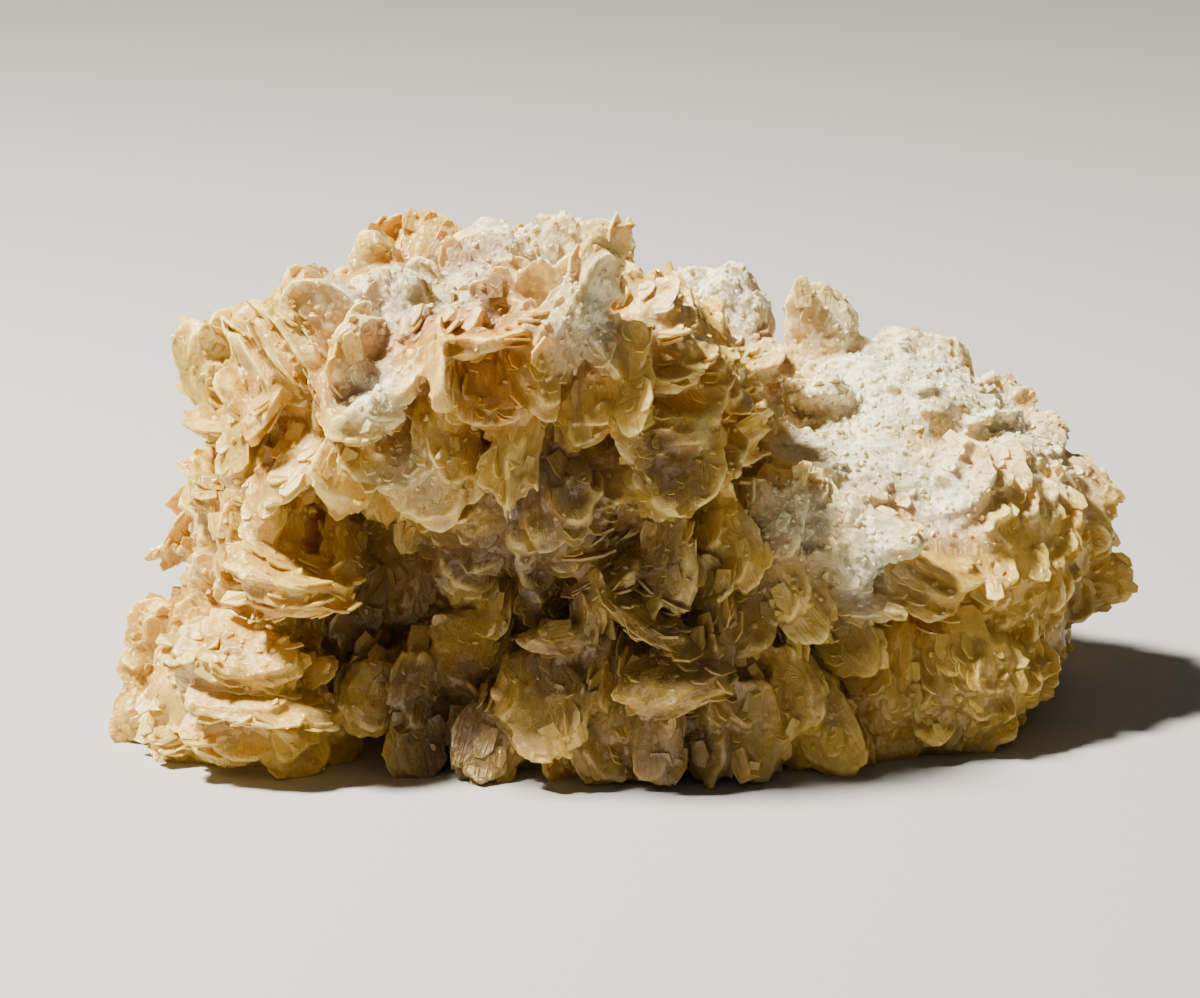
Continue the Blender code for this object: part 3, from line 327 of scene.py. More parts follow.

# Where the stone is honey yellow, olive or snowy, and where umber paints the shade under the overhang and
# across the lower front with a brown tint: across, up, depth and reach in millimetres, then how strongly
STAINS_AND_SHADE = {
    # Honey: the stone's yellow tint, and in the front hollows also a painted glow of light passing through
    # the stone
    "honey": (
        (-10.5, 12.0, -23, 6.5, 1.0), (-3.5, 14.0, -22, 4.0, 0.8), (-33.5, 5.5, -17, 4.5, 0.9),
        (-26.5, 11.0, -20, 4.0, 0.8), (-20.0, 14.0, -21, 4.0, 0.7),
        (32.0, -12.0, -10, 5.5, 0.8), (11.0, 9.0, -15, 4.5, 0.6), (2.0, 11.0, -18, 6.0, 0.5),
        (-14.0, 3.0, -20, 7.0, 0.35), (-31.0, -7.0, -20, 6.0, 0.5), (-36.0, -14.0, -16, 7.0, 0.35),
        (33.0, -2.5, -3, 4.0, 0.6), (30.0, 7.0, 7, 4.0, 0.5), (15.4, 13.8, 7, 4.0, 0.7),
        (44.0, -6.0, 4, 7.0, 0.35), (23.0, -20.0, -18, 6.0, 0.3), (-25.0, -2.0, -16, 8.0, 0.5),
        (-28.0, 22.0, 16, 8.0, 0.6), (-12.0, 8.0, 27, 9.0, 0.65), (-42.0, 0.0, 12, 9.0, 0.6),
        (14.0, -6.0, 26, 8.0, 0.6), (38.0, 0.0, 26, 9.0, 0.55), (-30.0, -8.0, 24, 7.0, 0.5),
        (2.0, 20.0, 14, 6.0, 0.5), (48.0, -2.0, 16, 7.0, 0.5), (-38.0, 14.0, 4, 6.0, 0.45),
    ),
    "olive": (
        (-40.0, 12.5, -6, 5.0, 0.8), (-35.5, 3.5, -14, 4.5, 0.7), (-33.0, 17.0, -7, 4.0, 0.5),
        (23.0, -16.6, -17, 2.2, 0.8), (-15.0, 22.0, -14, 5.0, 0.5),
        (-6.0, 12.0, -24, 4.0, 0.4), (-38.0, -22.0, -16, 8.0, 0.35), (-20.0, -2.0, 27, 8.0, 0.6),
        (26.0, 10.0, 26, 8.0, 0.5), (-46.0, -10.0, 2, 7.0, 0.5), (4.0, 6.0, 26, 6.0, 0.5),
    ),
    # Umber: painted shade under the dome's overhang and across the lower front, as a brown tint
    "umber_shade": (
        (-19.0, -9.0, -9, 10.0, 0.9), (-24.0, -15.0, -12, 9.0, 0.8), (3.0, -4.0, -18, 9.0, 0.7),
        (-3.0, -14.0, -18, 11.0, 0.8), (8.0, -14.0, -20, 11.0, 0.7), (-5.0, 0.0, -19, 8.0, 0.9),
        (6.0, 3.4, -19, 6.0, 0.7), (-10.0, -6.0, -17, 9.0, 0.9), (8.0, -25.0, -22, 12.0, 0.75),
        (-16.0, -24.0, -20, 12.0, 0.75), (22.0, -18.0, -18, 9.0, 0.5), (44.0, -14.0, 2, 9.0, 0.7),
        (-4.0, -14.0, 27, 9.0, 0.5), (40.0, -14.0, 20, 9.0, 0.5), (-36.0, -18.0, 14, 9.0, 0.45),
        (-16.0, 16.0, 24, 5.0, 0.4), (20.0, 2.0, 26, 4.0, 0.4),
        (32.0, -24.0, -12, 9.0, 0.6), (5.0, 10.0, -18, 6.0, 0.35), (-5.0, 3.0, -20, 6.0, 0.45),
    ),
    "snow": (
        (-7.0, 24.5, -10, 9.0, 0.8), (-23.0, 19.5, -15, 7.0, 0.75), (-2.0, 19.0, -20, 5.5, 0.9),
        (-22.5, 10.5, -23, 3.5, 1.0), (-19.0, 2.5, -23, 4.5, 0.6), (-37.5, -19.0, -20, 5.0, 0.6),
        (10.0, 20.0, 10, 9.0, 0.9), (30.0, 12.0, 12, 15.0, 1.0), (38.0, 6.0, 10, 12.0, 0.9),
        (24.0, 4.0, 0, 10.0, 1.0), (20.0, -3.0, -13, 6.0, 0.9), (27.0, -5.0, -13, 6.0, 0.9),
        (34.0, 1.0, -4, 6.0, 0.9), (45.0, 2.0, 10, 8.0, 0.6), (6.0, 18.0, -12, 5.0, 0.5),
        (-39.0, -3.0, -10, 5.0, 0.5),
    ),
}


# How the smaller crystals grow: their form, their width, length and thickness in millimetres, how deep
# their root sits as a share of their length, how far they stray, and how steeply they rise
SMALLER = {
    "medium": {"habit": "petal", "sizes": (3.6, 5.0, 1.2), "sink": 0.1, "wander": 0.2, "rise": (0.1, 0.9)},
    "small": {"habit": "chip", "sizes": (1.7, 2.2, 0.75), "sink": 0.2, "wander": 0.35, "rise": (0.1, 0.9)},
    "blade": {"habit": "chip", "sizes": (1.7, 2.6, 0.5), "sink": 0.2, "wander": 0.14, "rise": (0.0, 0.35)},
    "sugar": {"habit": "grain", "sizes": (0.75, 0.85, 0.6), "sink": 0.0, "wander": 0.9, "rise": (0.0, 1.0)},
}
SEEDS = {"medium": 31, "small": 37, "blade": 41, "sugar": 43}


def length_setting(name, description, default):
    """A length that can be changed, given in metres."""
    return FloatProperty(name=name, description=description, default=default, unit="LENGTH")


def colour_setting(name, description, default):
    """A colour that can be changed."""
    return FloatVectorProperty(
        name=name, description=description, default=default, subtype="COLOR", min=0, max=1
    )


class BaritePieces(bpy.types.PropertyGroup):
    lump_detail: IntProperty(
        name="Lump detail", description="Subdivision of the massive interior", default=5, min=3, max=6
    )
    lump_relief: length_setting("Lump relief", "Height of the rough relief on the mass", 0.9 * MM)
    medium_spacing: length_setting("Medium crystals", "Distance between the medium crystals", 3.6 * MM)
    small_spacing: length_setting("Small crystals", "Distance between the small crystals", 2.1 * MM)
    detail: length_setting("Surface detail", "Size of the smallest shape in the fused surface", 0.29 * MM)
    blade_spacing: length_setting(
        "Fine blades", "Distance between the thin blades on the fused mass", 2.5 * MM
    )
    grain_spacing: length_setting(
        "Sugar grains", "Distance between sugary grains where it is snowy", 1.4 * MM
    )
    overgrowth: length_setting(
        "Overgrowth", "Half the width of the gaps between crystals that have grown shut", 0.36 * MM
    )
    waviness: length_setting("Waviness", "How far a crystal's faces wander from flat", 0.12 * MM)


class BariteColours(bpy.types.PropertyGroup):
    ivory: colour_setting("Ivory", "The stone's main colour", (0.86, 0.54, 0.06))
    white: colour_setting("White", "Sugary coating", (0.95, 0.88, 0.66))
    frost: colour_setting("Frost", "Crystal rims and ridges", (0.92, 0.76, 0.24))
    # Honey is also the painted shade of the hollows, tinted as light scattered in the stone
    honey: colour_setting("Honey", "Depths of the hollows", (0.62, 0.25, 0.002))
    olive: colour_setting("Olive", "Yellow-green stains", (0.66, 0.52, 0.03))
    # Umber is painted shade, in the lowest hollows and in the umber patches under the overhang, with a
    # brown tint
    umber_shade: colour_setting("Umber", "Brown stains and the lowest hollows", (0.23, 0.12, 0.022))


class BariteStage(bpy.types.PropertyGroup):
    floor: colour_setting("Floor", "The floor's colour", (0.42, 0.415, 0.40))
    key_power: FloatProperty(
        name="Key light", description="Power of the main light", default=24.0, unit="POWER"
    )
    fill_power: FloatProperty(
        name="Fill light", description="Power of the front fill", default=0.2, unit="POWER"
    )


def seen(across, up, depth):
    """The point that the eye sees at this place on the front sheet, at this distance behind it."""
    away = Vector((0, math.cos(EYE_ELEVATION), -math.sin(EYE_ELEVATION)))
    sheet_up = Vector((0, math.sin(EYE_ELEVATION), math.cos(EYE_ELEVATION)))
    eye = SHEET_CENTRE - away * EYE_DISTANCE
    on_sheet = SHEET_CENTRE + Vector((across * MM, 0, 0)) + sheet_up * up * MM
    share = (depth * MM - eye.y) / (on_sheet.y - eye.y)
    return eye + (on_sheet - eye) * share


def sheet_direction(right, up, towards):
    """A direction given on the front sheet, in the part's own frame."""
    sine, cosine = math.sin(EYE_ELEVATION), math.cos(EYE_ELEVATION)
    return Vector((right, up * sine - towards * cosine, up * cosine + towards * sine))


def standing(centre, growth, face):
    """The placing of a crystal whose length runs along growth and whose broad face looks along face."""
    along = growth.normalized()
    across = along.cross(face).normalized()
    normal = across.cross(along)
    return Matrix.Translation(centre) @ Matrix((across, along, normal)).transposed().to_4x4()


def lump_rise(points):
    """Height of each point above the nearest lump, in millimetres, less than nothing inside."""
    heights = np.full(len(points), 1e9)
    for centre, half_sizes in LUMPS.values():
        offset = points / MM - np.array(centre, dtype=float)
        reach = np.linalg.norm(offset / np.array(half_sizes, dtype=float), axis=1)
        heights = np.minimum(heights, (reach - 1) * float(np.mean(half_sizes)))
    return heights


def away_from_placed(points):
    """How far each point is from the nearest listed crystal."""
    nearest = np.full(len(points), 1.0)
    for rows in CRYSTALS.values():
        for row in rows:
            nearest = np.minimum(nearest, np.linalg.norm(points - np.array(seen(*row[0])), axis=1))
    return nearest


def nearest_region(point):
    """The region whose lumps are nearest to a point."""
    best, found = 1e9, None
    for region, lumps in REGIONS.items():
        for name in lumps:
            centre, half_sizes = LUMPS[name]
            offset = point / MM - Vector(centre)
            reach = math.sqrt(sum((offset[i] / half_sizes[i]) ** 2 for i in range(3)))
            if reach < best:
                best, found = reach, region
    return found


def inside_lump(point):
    """Whether a point lies in any lump."""
    for centre, half_sizes in LUMPS.values():
        offset = point - Vector(centre) * MM
        if sum((offset[i] / (half_sizes[i] * MM)) ** 2 for i in range(3)) < 1:
            return True
    return False


def lump_surface(spacing):
    """Points about this far apart on the outside of the lumps, each with its outward direction."""
    golden_turn = math.pi * (3 - math.sqrt(5))
    for centre, half_sizes in LUMPS.values():
        radii = Vector(half_sizes) * MM
        mean_radius = sum(radii) / 3
        count = round(4 * math.pi * mean_radius**2 / spacing**2)
        for i in range(count):
            height = 1 - 2 * (i + 0.5) / count
            ring = math.sqrt(1 - height * height)
            turn = golden_turn * i
            unit = Vector((ring * math.cos(turn), ring * math.sin(turn), height))
            outward = Vector(unit[k] / radii[k] for k in range(3)).normalized()
            point = Vector(unit[k] * radii[k] for k in range(3)) + Vector(centre) * MM
            if not inside_lump(point + outward * 0.5 * MM):
                yield point, outward


def big_crystals():
    """The placing, size and habit of every crystal that the part's solid has."""
    taken = []
    for rows in CRYSTALS.values():
        for place, growth, face, size, habit in rows:
            along = sheet_direction(*growth).normalized()
            centre = seen(*place) - along * size[1] * MM * ROOT_SINK
            yield standing(centre, along, sheet_direction(*face)), Vector(size) * MM, habit
            taken.append(seen(*place))
    rng = random.Random(LAYOUT_SEED)
    noise.seed_set(LEAN_SEED)
    for point, outward in lump_surface(GROWN_SPACING):
        wander = Vector(rng.gauss(0, GROWN_WANDER) for _ in range(3))
        lean = noise.noise_vector(point * GRAIN_SCALE).normalized() + wander
        lift = rng.uniform(*GROWN_LIFT)
        behind = outward.y > 0
        least, most = LARGE_GROWN if behind else SMALL_GROWN
        size = Vector(rng.uniform(least[i], most[i]) for i in range(3))
        habit = rng.choice(("petal", "petal", "tablet"))
        clearance = CLEARANCE_BEHIND if behind else CLEARANCE_IN_FRONT
        if point.z < 2 * MM or min((point - other).length for other in taken) < clearance:
            continue
        along = lean - outward * lean.dot(outward)
        growth = (along.normalized() + outward * lift).normalized()
        yield standing(point - growth * size.y * GROWN_SINK, growth, outward + wander), size, habit
        taken.append(point)


# ---- crystal forms


def select_where(mesh_object, test):
    """Selects, in edit mode, just the faces whose centre and normal pass the test."""
    form = bmesh.from_edit_mesh(mesh_object.data)
    for face in form.faces:
        face.select_set(bool(test(face.calc_center_median(), face.normal)))
    form.select_flush_mode()
    bmesh.update_edit_mesh(mesh_object.data)


def model_plate(name, outline, rng, steps):
    """A flat crystal one unit in size, with bevelled rims and growth steps on its broad faces."""
    bpy.ops.object.select_all(action="DESELECT")
    bpy.ops.mesh.primitive_circle_add(
        vertices=len(outline), radius=0.5, fill_type="NGON", location=(0, 0, 0)
    )
    plate = bpy.context.object
    plate.name = name
    for corner, (x, y) in zip(plate.data.vertices, outline):
        corner.co = (x * (1 + rng.uniform(-0.07, 0.07)), y * (1 + rng.uniform(-0.05, 0.05)), -0.2)
    bpy.ops.object.mode_set(mode="EDIT")
    bpy.ops.mesh.select_all(action="SELECT")
    bpy.ops.mesh.extrude_region_move(TRANSFORM_OT_translate={"value": (0, 0, 0.4)})
    for side in (1, -1):
        select_where(plate, lambda centre, normal: abs(normal.z) > 0.9 and centre.z * side > 0.15)
        bpy.ops.mesh.extrude_region_move(TRANSFORM_OT_translate={"value": (0, 0, 0.16 * side)})
        shrink = rng.uniform(0.72, 0.84)
        bpy.ops.transform.resize(value=(shrink, shrink + 0.06, 1))
        bpy.ops.transform.translate(value=(rng.uniform(-0.03, 0.03), rng.uniform(-0.05, 0.0), 0))
        for _ in range(steps):
            bpy.ops.mesh.inset(thickness=rng.uniform(0.05, 0.11), depth=0)
            bpy.ops.mesh.extrude_region_move(TRANSFORM_OT_translate={"value": (0, 0, 0.07 * side)})
            bpy.ops.transform.resize(value=(0.95, 0.95, 1))
            bpy.ops.transform.translate(value=(rng.uniform(-0.05, 0.05), rng.uniform(-0.07, 0.03), 0))
    bpy.ops.mesh.select_all(action="SELECT")
    bpy.ops.mesh.normals_make_consistent(inside=False)
    bpy.ops.object.mode_set(mode="OBJECT")
    mesh = plate.data
    bpy.data.objects.remove(plate)
    mesh.name = name
    return mesh


def chipped_outline(corners, rng):
    """The outline with each corner cut off at its own slant and its sides a little broken."""
    outline = []
    for i, corner in enumerate(corners):
        before, after = Vector(corners[i - 1]), Vector(corners[(i + 1) % len(corners)])
        corner = Vector(corner)
        outline.append(corner.lerp(before, rng.uniform(0.06, 0.24)))
        outline.append(corner.lerp(after, rng.uniform(0.06, 0.24)))
        if (corner - after).length > 0.45:
            side = (after - corner).normalized()
            notch = Vector((side.y, -side.x)) * rng.uniform(-0.03, 0.05)
            outline.append(corner.lerp(after, rng.uniform(0.4, 0.6)) + notch)
    return outline


FORMS_PER_HABIT = 6
TERRACES = 4
THINNEST_LEAF = 0.75 * MM


def model_grain(name, rng):
    """A sugary grain one unit in size, an uneven crystal with eight faces."""
    bpy.ops.object.select_all(action="DESELECT")
    bpy.ops.mesh.primitive_uv_sphere_add(segments=4, ring_count=2, radius=0.5, location=(0, 0, 0))
    grain = bpy.context.object
    for corner in grain.data.vertices:
        corner.co *= rng.uniform(0.75, 1.25)
    mesh = grain.data
    bpy.data.objects.remove(grain)
    mesh.name = name


def model_forms():
    """Models every form that is copied into the growth."""
    rng = random.Random(21)
    for habit, corners in HABITS.items():
        for i in range(FORMS_PER_HABIT):
            outline = corners if habit == "chip" else chipped_outline(corners, rng)
            model_plate(f"form_{habit}_{i}", outline, rng, 0 if habit == "chip" else 2)
    for i in range(FORMS_PER_HABIT):
        model_grain(f"form_grain_{i}", rng)


def find_forms():
    """The forms that have been modelled, by habit."""
    return {
        habit: [bpy.data.meshes[f"form_{habit}_{i}"] for i in range(FORMS_PER_HABIT)]
        for habit in (*HABITS, "grain")
    }


def number_faces(mesh, number):
    """Writes which crystal every face of a mesh belongs to."""
    layer = mesh.attributes.new("crystal", "FLOAT", "FACE")
    layer.data.foreach_set("value", np.full(len(mesh.polygons), number, dtype=np.float32))


class Growth:
    """The crystals that have grown on one region, in the order of their numbers."""

    def __init__(self, forms, seed, waviness):
        self.forms = forms
        self.rng = random.Random(seed)
        self.waviness = waviness
        noise.seed_set(LEAN_SEED)
        self.across = []
        self.tint = []
        self.placed = []

    def add(self, habit, placing, size, waviness=None):
        """A copy of one of the habit's forms at its size and place, wandering a little from flat."""
        rng = self.rng
        mesh = rng.choice(self.forms[habit]).copy()
        flip = rng.choice((-1, 1))
        offset = Vector((rng.uniform(0, 99), rng.uniform(0, 99), rng.uniform(0, 99)))
        strength = self.waviness if waviness is None else waviness
        for corner in mesh.vertices:
            local = Vector((corner.co.x * flip * size[0], corner.co.y * size[1], corner.co.z * size[2]))
            if strength:
                local += noise.noise_vector(local / (3.5 * MM) + offset) * strength
            corner.co = placing @ local
        if flip < 0:
            mesh.flip_normals()
        number_faces(mesh, len(self.tint))
        self.across.append(placing.to_3x3() @ Vector((1, 0, 0)))
        self.tint.append(rng.random())
        placed = bpy.data.objects.new(f"crystal_{len(self.tint)}", mesh)
        self.placed.append(placed)

    def add_book(self, placing, size, habit):
        """A stack of thin crystals grown together along their broad faces."""
        rng = self.rng
        leaves = 2 if size[2] < 1.7 * MM else 3 if size[2] < 2.7 * MM else 4
        for leaf in range(leaves):
            level = (leaf + 0.5) / leaves - 0.5
            shrink = 1.0 - 0.22 * abs(level) * 2 * rng.uniform(0.2, 1.6)
            leaf_size = (
                size[0] * shrink * rng.uniform(0.84, 1.04),
                size[1] * shrink * rng.uniform(0.86, 1.05),
                max(size[2] * rng.uniform(1.15, 1.6) / leaves, THINNEST_LEAF),
            )
            shift = Vector((
                size[0] * rng.uniform(-0.1, 0.1), size[1] * rng.uniform(-0.1, 0.06), size[2] * level,
            ))
            turn = Matrix.Rotation(rng.gauss(0, 0.08), 4, "Z") @ Matrix.Rotation(rng.gauss(0, 0.04), 4, "X")
            self.add(habit, placing @ Matrix.Translation(shift) @ turn, leaf_size)
        for _ in range(TERRACES):
            share = rng.uniform(0.28, 0.6)
            side = rng.choice((-1, 1))
            shift = Vector((
                size[0] * rng.uniform(-0.3, 0.3), size[1] * rng.uniform(-0.3, 0.34),
                size[2] * side * rng.uniform(0.38, 0.56),
            ))
            turn = Matrix.Rotation(rng.gauss(0, 0.25), 4, "Z") @ Matrix.Rotation(rng.gauss(0, 0.12), 4, "X")
            terrace = (
                size[0] * share * rng.uniform(0.7, 1.1), size[1] * share, size[2] * rng.uniform(0.22, 0.4),
            )
            self.add(habit, placing @ Matrix.Translation(shift) @ turn, terrace)

    def take(self):
        """Hands over the crystals placed so far."""
        taken, self.placed = self.placed, []
        return taken


# ---- growth

GRAIN_SIZE = 0.75 * MM
LUMP, FUSED = -1, -2
CUT_BLOCK = (0.3, 0.3, 0.1)
FIRST_CUT = -1 * MM
SHRINK_BACK = 0.9

# Heights of the grains on satin faces, where it is snowy, and in patches, in millimetres
SATIN_GRAIN, SNOW_GRAIN, PATCH_GRAIN = 0.05, 0.20, 0.12
PATCH_SIZE = 2.2 * MM
PATCH_RELIEF = 0.10 * MM


def rough_lump(name, detail, relief):
    """One lump of the mass, with a rough relief."""
    centre, half_sizes = LUMPS[name]
    bpy.ops.object.select_all(action="DESELECT")
    bpy.ops.mesh.primitive_ico_sphere_add(subdivisions=detail, radius=1)
    lump = bpy.context.object
    lump.name = f"lump_{name}"
    for corner in lump.data.vertices:
        unit = corner.co.copy()
        point = Vector(unit[i] * half_sizes[i] * MM for i in range(3)) + Vector(centre) * MM
        rough = noise.hetero_terrain(point / (6 * MM), 1.0, 2.2, 4, 0.7)
        corner.co = point + unit * (rough - 0.6) * relief
    number_faces(lump.data, LUMP)
    return lump


def make_active(piece):
    """Selects just this piece and makes it the active one."""
    bpy.ops.object.select_all(action="DESELECT")
    piece.select_set(True)
    bpy.context.view_layer.objects.active = piece


def apply_modifier(piece, name, kind, **values):
    """Puts a modifier on a piece with these values and applies it."""
    make_active(piece)
    added = piece.modifiers.new(name, kind)
    added.show_viewport = False
    for key, value in values.items():
        setattr(added, key, value)
    bpy.ops.object.modifier_apply(modifier=added.name)


def union(start, others):
    """The start object joined with the others as one closed body."""
    group = bpy.data.collections.new("joining")
    for other in others:
        for used in list(other.users_collection):
            used.objects.unlink(other)
        group.objects.link(other)
    apply_modifier(
        start, "join", "BOOLEAN",
        operation="UNION", solver="MANIFOLD", operand_type="COLLECTION", collection=group,
    )
    join_meshes = [other.data for other in others]
    bpy.data.collections.remove(group)
    bpy.data.batch_remove(others)
    bpy.data.batch_remove(join_meshes)


def cut_flat(piece, level):
    """Cuts the piece off at this level and closes it there."""
    bpy.ops.object.select_all(action="DESELECT")
    bpy.ops.mesh.primitive_cube_add(size=1, location=(0, 0, level - CUT_BLOCK[2] / 2))
    block = bpy.context.object
    block.scale = CUT_BLOCK
    bpy.ops.object.transform_apply(location=True, rotation=True, scale=True)
    apply_modifier(piece, "cut", "BOOLEAN", operation="DIFFERENCE", solver="MANIFOLD", object=block)
    bpy.data.objects.remove(block)


def fuse(piece, detail):
    """Fuses the piece's crossing crystals into one surface of even detail."""
    apply_modifier(piece, "fuse", "REMESH", mode="VOXEL", voxel_size=detail)


def swell(piece, distance):
    """Moves a piece's surface outward."""
    mesh = piece.data
    points = mesh_points(mesh)
    normals = read_values(mesh.vertices, "normal", len(points) * 3).reshape(-1, 3)
    points = points + normals * distance
    mesh.vertices.foreach_set("co", np.ascontiguousarray(points, dtype=np.float32).ravel())
    mesh.update()


def roughen(piece):
    """Covers a fused piece in grains, high where it is snowy and low on satin faces."""
    mesh = piece.data
    points = mesh_points(mesh)
    normals = read_values(mesh.vertices, "normal", len(points) * 3).reshape(-1, 3)
    snow = patch_weight(points, STAINS_AND_SHADE["snow"])
    scale = 1 / GRAIN_SIZE
    grains = np.array([noise.voronoi(Vector(point) * scale)[0][0] for point in points])
    patches = np.array([noise.noise(Vector(point) / PATCH_SIZE) for point in points])
    tallest = SATIN_GRAIN + SNOW_GRAIN * snow + PATCH_GRAIN * np.clip(patches * 2, 0, 1)
    height = (0.55 - grains) * tallest * MM
    height += patches * PATCH_RELIEF
    height *= np.clip((points[:, 2] - 0.3 * MM) / MM, 0, 1)
    points = points + normals * height[:, None]
    mesh.vertices.foreach_set("co", np.ascontiguousarray(points, dtype=np.float32).ravel())
    mesh.update()


def lighten(piece, most):
    """Takes faces away where the piece is flat, until it has no more triangles than this."""
    piece.data.calc_loop_triangles()
    apply_modifier(piece, "lighten", "DECIMATE", ratio=min(1.0, most / len(piece.data.loop_triangles)))


def patch_weight(points, listed_patches):
    """How strongly each point lies in the listed patches, from none to one."""
    weight = np.zeros(len(points))
    for across, up, depth, reach, strength in listed_patches:
        centre = np.array(seen(across, up, depth))
        distance = np.linalg.norm(points - centre, axis=1) / (reach * MM)
        weight = np.maximum(weight, strength * np.exp(-(distance**2)))
    return weight


def read_values(data, key, count, kind=np.float32):
    """A value of every item in a mesh's list."""
    values = np.empty(count, dtype=kind)
    data.foreach_get(key, values)
    return values


def mesh_points(mesh):
    """The vertices of a mesh as rows."""
    return read_values(mesh.vertices, "co", len(mesh.vertices) * 3).reshape(-1, 3).astype(float)


def sorted_triangles(mesh):
    """A mesh's triangles in an order that only its shape decides, and the face each is part of."""
    mesh.calc_loop_triangles()
    count = len(mesh.loop_triangles)
    corners = read_values(mesh.loop_triangles, "vertices", count * 3, np.int32).reshape(-1, 3)
    faces = read_values(mesh.loop_triangles, "polygon_index", count, np.int32)
    points = mesh_points(mesh)
    rank = np.empty(len(points), dtype=np.int64)
    rank[np.lexsort(points.T)] = np.arange(len(points))
    first = np.argmin(rank[corners], axis=1)
    corners = np.take_along_axis(corners, (first[:, None] + np.arange(3)) % 3, axis=1)
    order = np.lexsort(rank[corners].T)
    return points[corners[order]], faces[order]


def surface_points(piece, spacing, seed, weight_of):
    """Random points on a piece's surface with their normals, about this far apart where weight is 1."""
    mesh = piece.data
    points, faces = sorted_triangles(mesh)
    crystal = read_values(mesh.attributes["crystal"].data, "value", len(mesh.polygons))
    cross = np.cross(points[:, 1] - points[:, 0], points[:, 2] - points[:, 0])
    area = np.linalg.norm(cross, axis=1) / 2
    normals = cross / np.maximum(area * 2, 1e-15)[:, None]
    expected = area * weight_of(points.mean(axis=1), crystal[faces]) / spacing**2
    generator = np.random.default_rng(seed)
    chosen = np.repeat(np.arange(len(points)), generator.poisson(expected))
    a, b = generator.random(len(chosen)), generator.random(len(chosen))
    over = a + b > 1
    a[over], b[over] = 1 - a[over], 1 - b[over]
    base = points[chosen]
    spots = base[:, 0] + a[:, None] * (base[:, 1] - base[:, 0]) + b[:, None] * (base[:, 2] - base[:, 0])
    keep = (lump_rise(spots) > -0.6) & (spots[:, 2] > 0.4 * MM)
    return spots[keep], normals[chosen][keep]


def add_smaller(growth, piece, near, kind, spacing, weight_of):
    """Smaller crystals over a piece's surface, leaning like the big crystals near them."""
    seed, habit = SEEDS[kind], SMALLER[kind]["habit"]
    sizes, sink, wander, rise = (SMALLER[kind][key] for key in ("sizes", "sink", "wander", "rise"))
    spots, normals = surface_points(piece, spacing, seed, weight_of)
    snow = patch_weight(spots, STAINS_AND_SHADE["snow"])
    rng = random.Random(seed)
    for i in range(len(spots)):
        point, outward = Vector(spots[i]), Vector(normals[i])
        placing = near(point)
        growing, facing = placing.to_3x3().col[1], placing.to_3x3().col[2]
        stray = Vector(rng.gauss(0, wander) for _ in range(3))
        growth_way = (growing * 0.8 + outward * rng.uniform(*rise) + stray).normalized()
        face_way = facing + Vector(rng.gauss(0, wander) for _ in range(3)) + outward * snow[i]
        scale = rng.uniform(0.65, 1.35) * (1 - 0.3 * snow[i])
        size = [value * MM * scale for value in sizes]
        size[2] *= 1 + snow[i]
        centre = point - growth_way * size[1] * sink - outward * size[2] * 0.1
        growth.add(habit, standing(centre, growth_way, face_way), size, 0)


def grow_region(region):
    """One region of the growth, from its lumps to its smallest crystals, as one closed body."""
    pieces = bpy.context.scene.barite_pieces
    growth = Growth(find_forms(), sum(map(ord, region)), pieces.waviness)
    lumps = [rough_lump(name, pieces.lump_detail, pieces.lump_relief) for name in REGIONS[region]]
    placings = [crystal[0] for crystal in big_crystals()]
    tree = KDTree(len(placings))
    for number, placing in enumerate(placings):
        tree.insert(placing.translation, number)
    tree.balance()

    def near(point):
        return placings[tree.find(point)[1]]

    for placing, size, habit in big_crystals():
        if nearest_region(placing.translation) == region:
            growth.add_book(placing, size, habit)
    piece = lumps[0]
    piece.name = f"growth_{region}"
    union(piece, lumps[1:] + growth.take())

    def bare(middles):
        return np.clip((away_from_placed(middles) - 2.5 * MM) / (3 * MM), 0, 1)

    def mostly_lumps(middles, crystal):
        return np.where(crystal < 0, 0.3 + 0.7 * bare(middles), 0.12 * bare(middles))

    def mostly_snow(middles, crystal):
        return np.where(crystal < 0, 0.8, 0.06) + 0.5 * patch_weight(middles, STAINS_AND_SHADE["snow"])

    add_smaller(growth, piece, near, "medium", pieces.medium_spacing, mostly_lumps)
    add_smaller(growth, piece, near, "small", pieces.small_spacing, mostly_snow)
    union(piece, growth.take())
    cut_flat(piece, FIRST_CUT)
    source = piece.data.copy()
    source.name = "before_fusing"
    fuse(piece, pieces.detail)
    swell(piece, pieces.overgrowth)
    fuse(piece, pieces.detail)
    swell(piece, -SHRINK_BACK * pieces.overgrowth)
    roughen(piece)
    lighten(piece, MOST_TRIANGLES[region])
    number_faces(piece.data, FUSED)

    def little_snow(middles, crystal):
        return 1.0 - 0.7 * patch_weight(middles, STAINS_AND_SHADE["snow"])

    def sugar(middles, crystal):
        return 0.12 + 1.1 * patch_weight(middles, STAINS_AND_SHADE["snow"])

    add_smaller(growth, piece, near, "blade", pieces.blade_spacing, little_snow)
    add_smaller(growth, piece, near, "sugar", pieces.grain_spacing, sugar)
    union(piece, growth.take())
    cut_flat(piece, 0)
    finish_piece(piece, source, growth)


# ---- what the colours read


GRID_STEP = 0.6 * MM
GRID_CORNER = np.array((-60.0, -40.0, -10.0)) * MM
GRID_SIZE = (200, 134, 110)
NEAR_CELLS, FAR_CELLS = 3, 7
SMOOTHING_ROUNDS = 6
RIDGE_HEIGHT = 0.25 * MM
FINE_RIDGE = 0.72
SHARP_ANGLE = math.radians(32)


